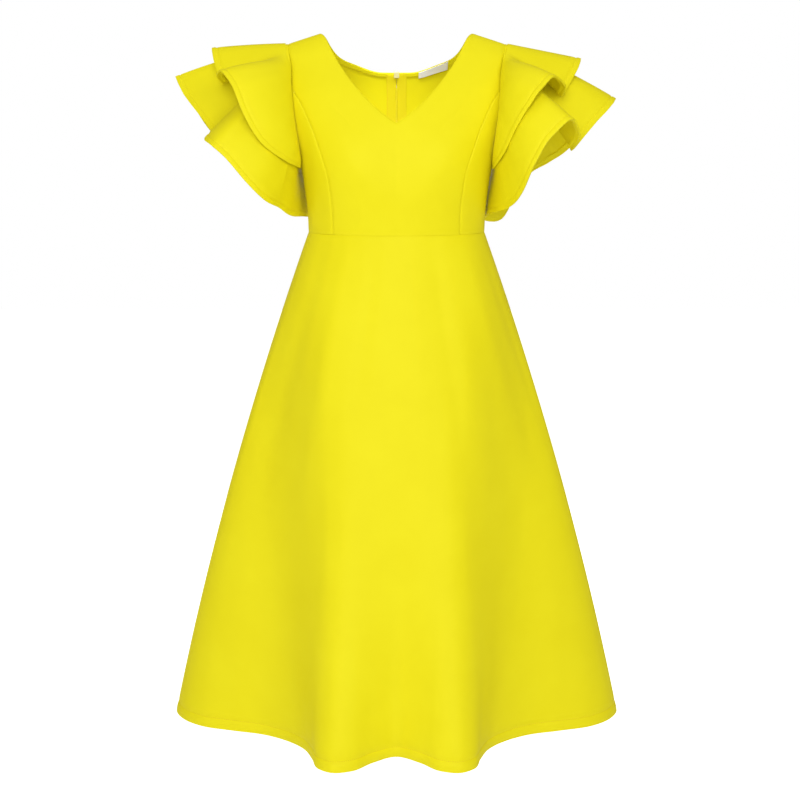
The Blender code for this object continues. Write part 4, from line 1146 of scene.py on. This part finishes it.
# %% [markdown]
# ## Flounces
# Two tiers on each sleeve, with a narrow stitched hem. The lower one goes all round the
# armhole, the upper one stops short of the underarm. The thick knit keeps wide, round
# flutes and sharp crests.

# %% Lower and upper flounces
FLOUNCE_HEM = 0.0080
AROUND = shares(0.480, 0.0042, start=True, end=True) * 2 - 1
UPPER_FROM = -0.805      # round the armhole, where the upper tier starts and ends
UPPER_TO = 0.910
AROUND_UPPER = between(UPPER_FROM, UPPER_TO, shares(0.440, 0.0042, start=True, end=True))
LOWER_V = shares(0.160, 0.0048, marks=(0.160 - FLOUNCE_HEM,))
UPPER_V = shares(0.115, 0.0048, marks=(0.115 - FLOUNCE_HEM,))
LOWER_MARKS = {
    "left": ((0.62, 0.3, 0.64, 0.85, 16, -1.6), (0.8, 0.2, 0.84, 0.8, 15, 1.4),
             (0.3, 0.25, 0.26, 0.85, 17, -1.5), (0.45, 0.4, 0.44, 0.9, 12, 1)),
    "right": ((0.7, 0.25, 0.72, 0.8, 16, -1.5), (0.86, 0.3, 0.88, 0.85, 14, 1.2),
              (0.22, 0.25, 0.2, 0.8, 17, 1.4), (0.38, 0.35, 0.36, 0.9, 13, -1)),
}
UPPER_MARKS = {
    "left": ((0.72, 0.2, 0.76, 0.75, 14, -1.4), (0.84, 0.25, 0.86, 0.8, 12, 1),
             (0.3, 0.2, 0.26, 0.8, 14, -1.2)),
    "right": ((0.74, 0.25, 0.78, 0.8, 14, -1.3), (0.6, 0.2, 0.62, 0.6, 12, 0.9),
              (0.24, 0.2, 0.22, 0.8, 14, 1.2)),
}
for side, name in SIDES:
    for tier, surface, around, rows, marks, size, flat, area in (
            ("lower", lower_flounce, AROUND, LOWER_V, LOWER_MARKS, (0.80, 0.16),
             (0.860, 0.190), 0.083),
            ("upper", upper_flounce, AROUND_UPPER, UPPER_V, UPPER_MARKS, (0.70, 0.11),
             (0.700, 0.140), 0.043)):
        piece, grid = cloth(
            f"{tier}_tier_{name}", surface(side), around, rows, turned=side < 0,
            hem=FLOUNCE_HEM, closed=tier == "lower", marks=marks[name], size=size)
        finish_sheet(piece, f"flounce_{tier}_{name}", flat, area)
        stitch_line(f"stitches_{tier}_{name}", grid, "high", FLOUNCE_HEM)

# %% [markdown]
# ## Back neck: turned edge, label
# Inside the back neck the edge is turned in and held by a line of stitching, its thread
# darkened as painted shade. A bare white ribbon is sewn on it at the wearer's left.

# %% Turned edge and label
BAND_FROM = 0.077
BAND_LOW = 0.975
LABEL_FROM = 0.170
LABEL_TO = 0.415
LABEL_LOW = 0.961
EDGE_STITCH = 0.0007     # how far a line of stitching lies from an edge inside the neck
for side, name in SIDES:
    piece, grid = cloth(
        f"neck_edge_{name}", half_back(side),
        between(BAND_FROM, NECK_SHARE, shares(0.120, 0.0030, end=True)),
        between(BAND_LOW, 1.0, shares(0.0062, 0.0012)), turned=side > 0,
        sewn="high end", thick=NECK_BAND_THICK, lift=-(WALL + SEAM))
    finish_sheet(piece, f"neck_band_{name}", (0.122, 0.0100), 0.00105)
    stitch_line(f"stitches_neck_{name}", grid, "low", EDGE_STITCH, PAINTED_SHADE_THREAD,
                NECK_BAND_THICK)

piece, grid = cloth(
    "neck_label", half_back(1.0), between(LABEL_FROM, LABEL_TO, shares(0.045, 0.0015)),
    between(LABEL_LOW, 1.0, shares(0.0105, 0.0012)), turned=True, sewn="high",
    thick=LABEL_THICK, lift=-(WALL + NECK_BAND_THICK + 2 * SEAM))
finish_sheet(piece, "label", (0.046, 0.0125), 0.00057, RIBBON)

# %% [markdown]
# ## Zip
# A concealed zip runs down the centre back inside. Two tapes are sewn to the backs, and
# between them a chain of small coils is closed. The slider stands at the top of the zip.

# %% Zip tapes
TAPE_FROM = 0.0015
TAPE_TO = 0.075
TAPE_ROWS = shares(0.410, 0.0050)
TAPE_TOP = 0.9985
TAPE_DEPTH = WALL + SEAM + ZIP_ROLL
for side, name in SIDES:
    piece, grid = cloth(
        f"tape_{name}", zip_strip(side), between(TAPE_FROM, TAPE_TO, shares(0.0150, 0.0015)),
        TAPE_ROWS * TAPE_TOP, turned=side > 0, thick=TAPE_THICK, lift=-TAPE_DEPTH)
    finish_sheet(piece, f"zip_tape_{name}", (0.0160, 0.415), 0.0063, TAPE)
    # On the left the darkened thread is painted shadow beside the tape's edge.
    stitch_line(f"stitches_tape_{name}", grid, "end", EDGE_STITCH,
                PAINTED_SHADE_THREAD if side < 0 else THREAD, TAPE_THICK)

# %% Coil
COIL_PITCH = 0.0015
COIL_WIDE = 0.0034
COIL_THREAD = 0.00032    # radius of the plastic thread
COIL_FLAT = 0.30         # how far a round loop is pressed flat along the zip
CORE_RADIUS = 0.0010     # the cord that the coil is wound round
COIL_FROM = 0.935        # shares of the strip where the coil starts and ends
COIL_TO = 0.02
COIL_CLEAR = 0.0002      # between the tapes and the coil's middle line


def one_coil():
    """One closed loop of the zip's coil round its cord, across X, flat to the tape."""
    bpy.ops.object.select_all(action="DESELECT")
    bpy.ops.mesh.primitive_torus_add(
        major_segments=10, minor_segments=4, major_radius=COIL_WIDE / 2 - 0.0003,
        minor_radius=COIL_THREAD)
    loop = bpy.context.object
    bpy.ops.object.mode_set(mode="EDIT")
    bpy.ops.mesh.select_all(action="SELECT")
    bpy.ops.transform.resize(value=(COIL_FLAT, 1.0, 1.0))
    bpy.ops.object.mode_set(mode="OBJECT")
    bpy.ops.mesh.primitive_cylinder_add(
        vertices=6, radius=CORE_RADIUS, depth=COIL_PITCH * 1.1, rotation=(0.0, math.pi / 2, 0.0))
    loop.select_set(True)
    bpy.context.view_layer.objects.active = loop
    bpy.ops.object.join()
    return taken(loop)


down = np.linspace(COIL_FROM, COIL_TO, 240)
middle, outwards = points_and_normals(zip_strip(1.0), np.full_like(down, 0.01), down, True)
middle[:, 0] = 0.0
outwards[:, 0] = 0.0
inner = middle - outwards * (TAPE_DEPTH + TAPE_THICK + COIL_CLEAR)
finish_piece(
    copies_along("zip_coil", one_coil(), inner, -outwards, COIL_PITCH), COIL)

# %% Slider and pull
for node in ("zip_slider", "zip_pull"):
    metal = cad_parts[node]
    for slot in metal.material_slots:
        slot.material = ENAMEL
    print(node, [round(c, 4) for c in metal.dimensions])
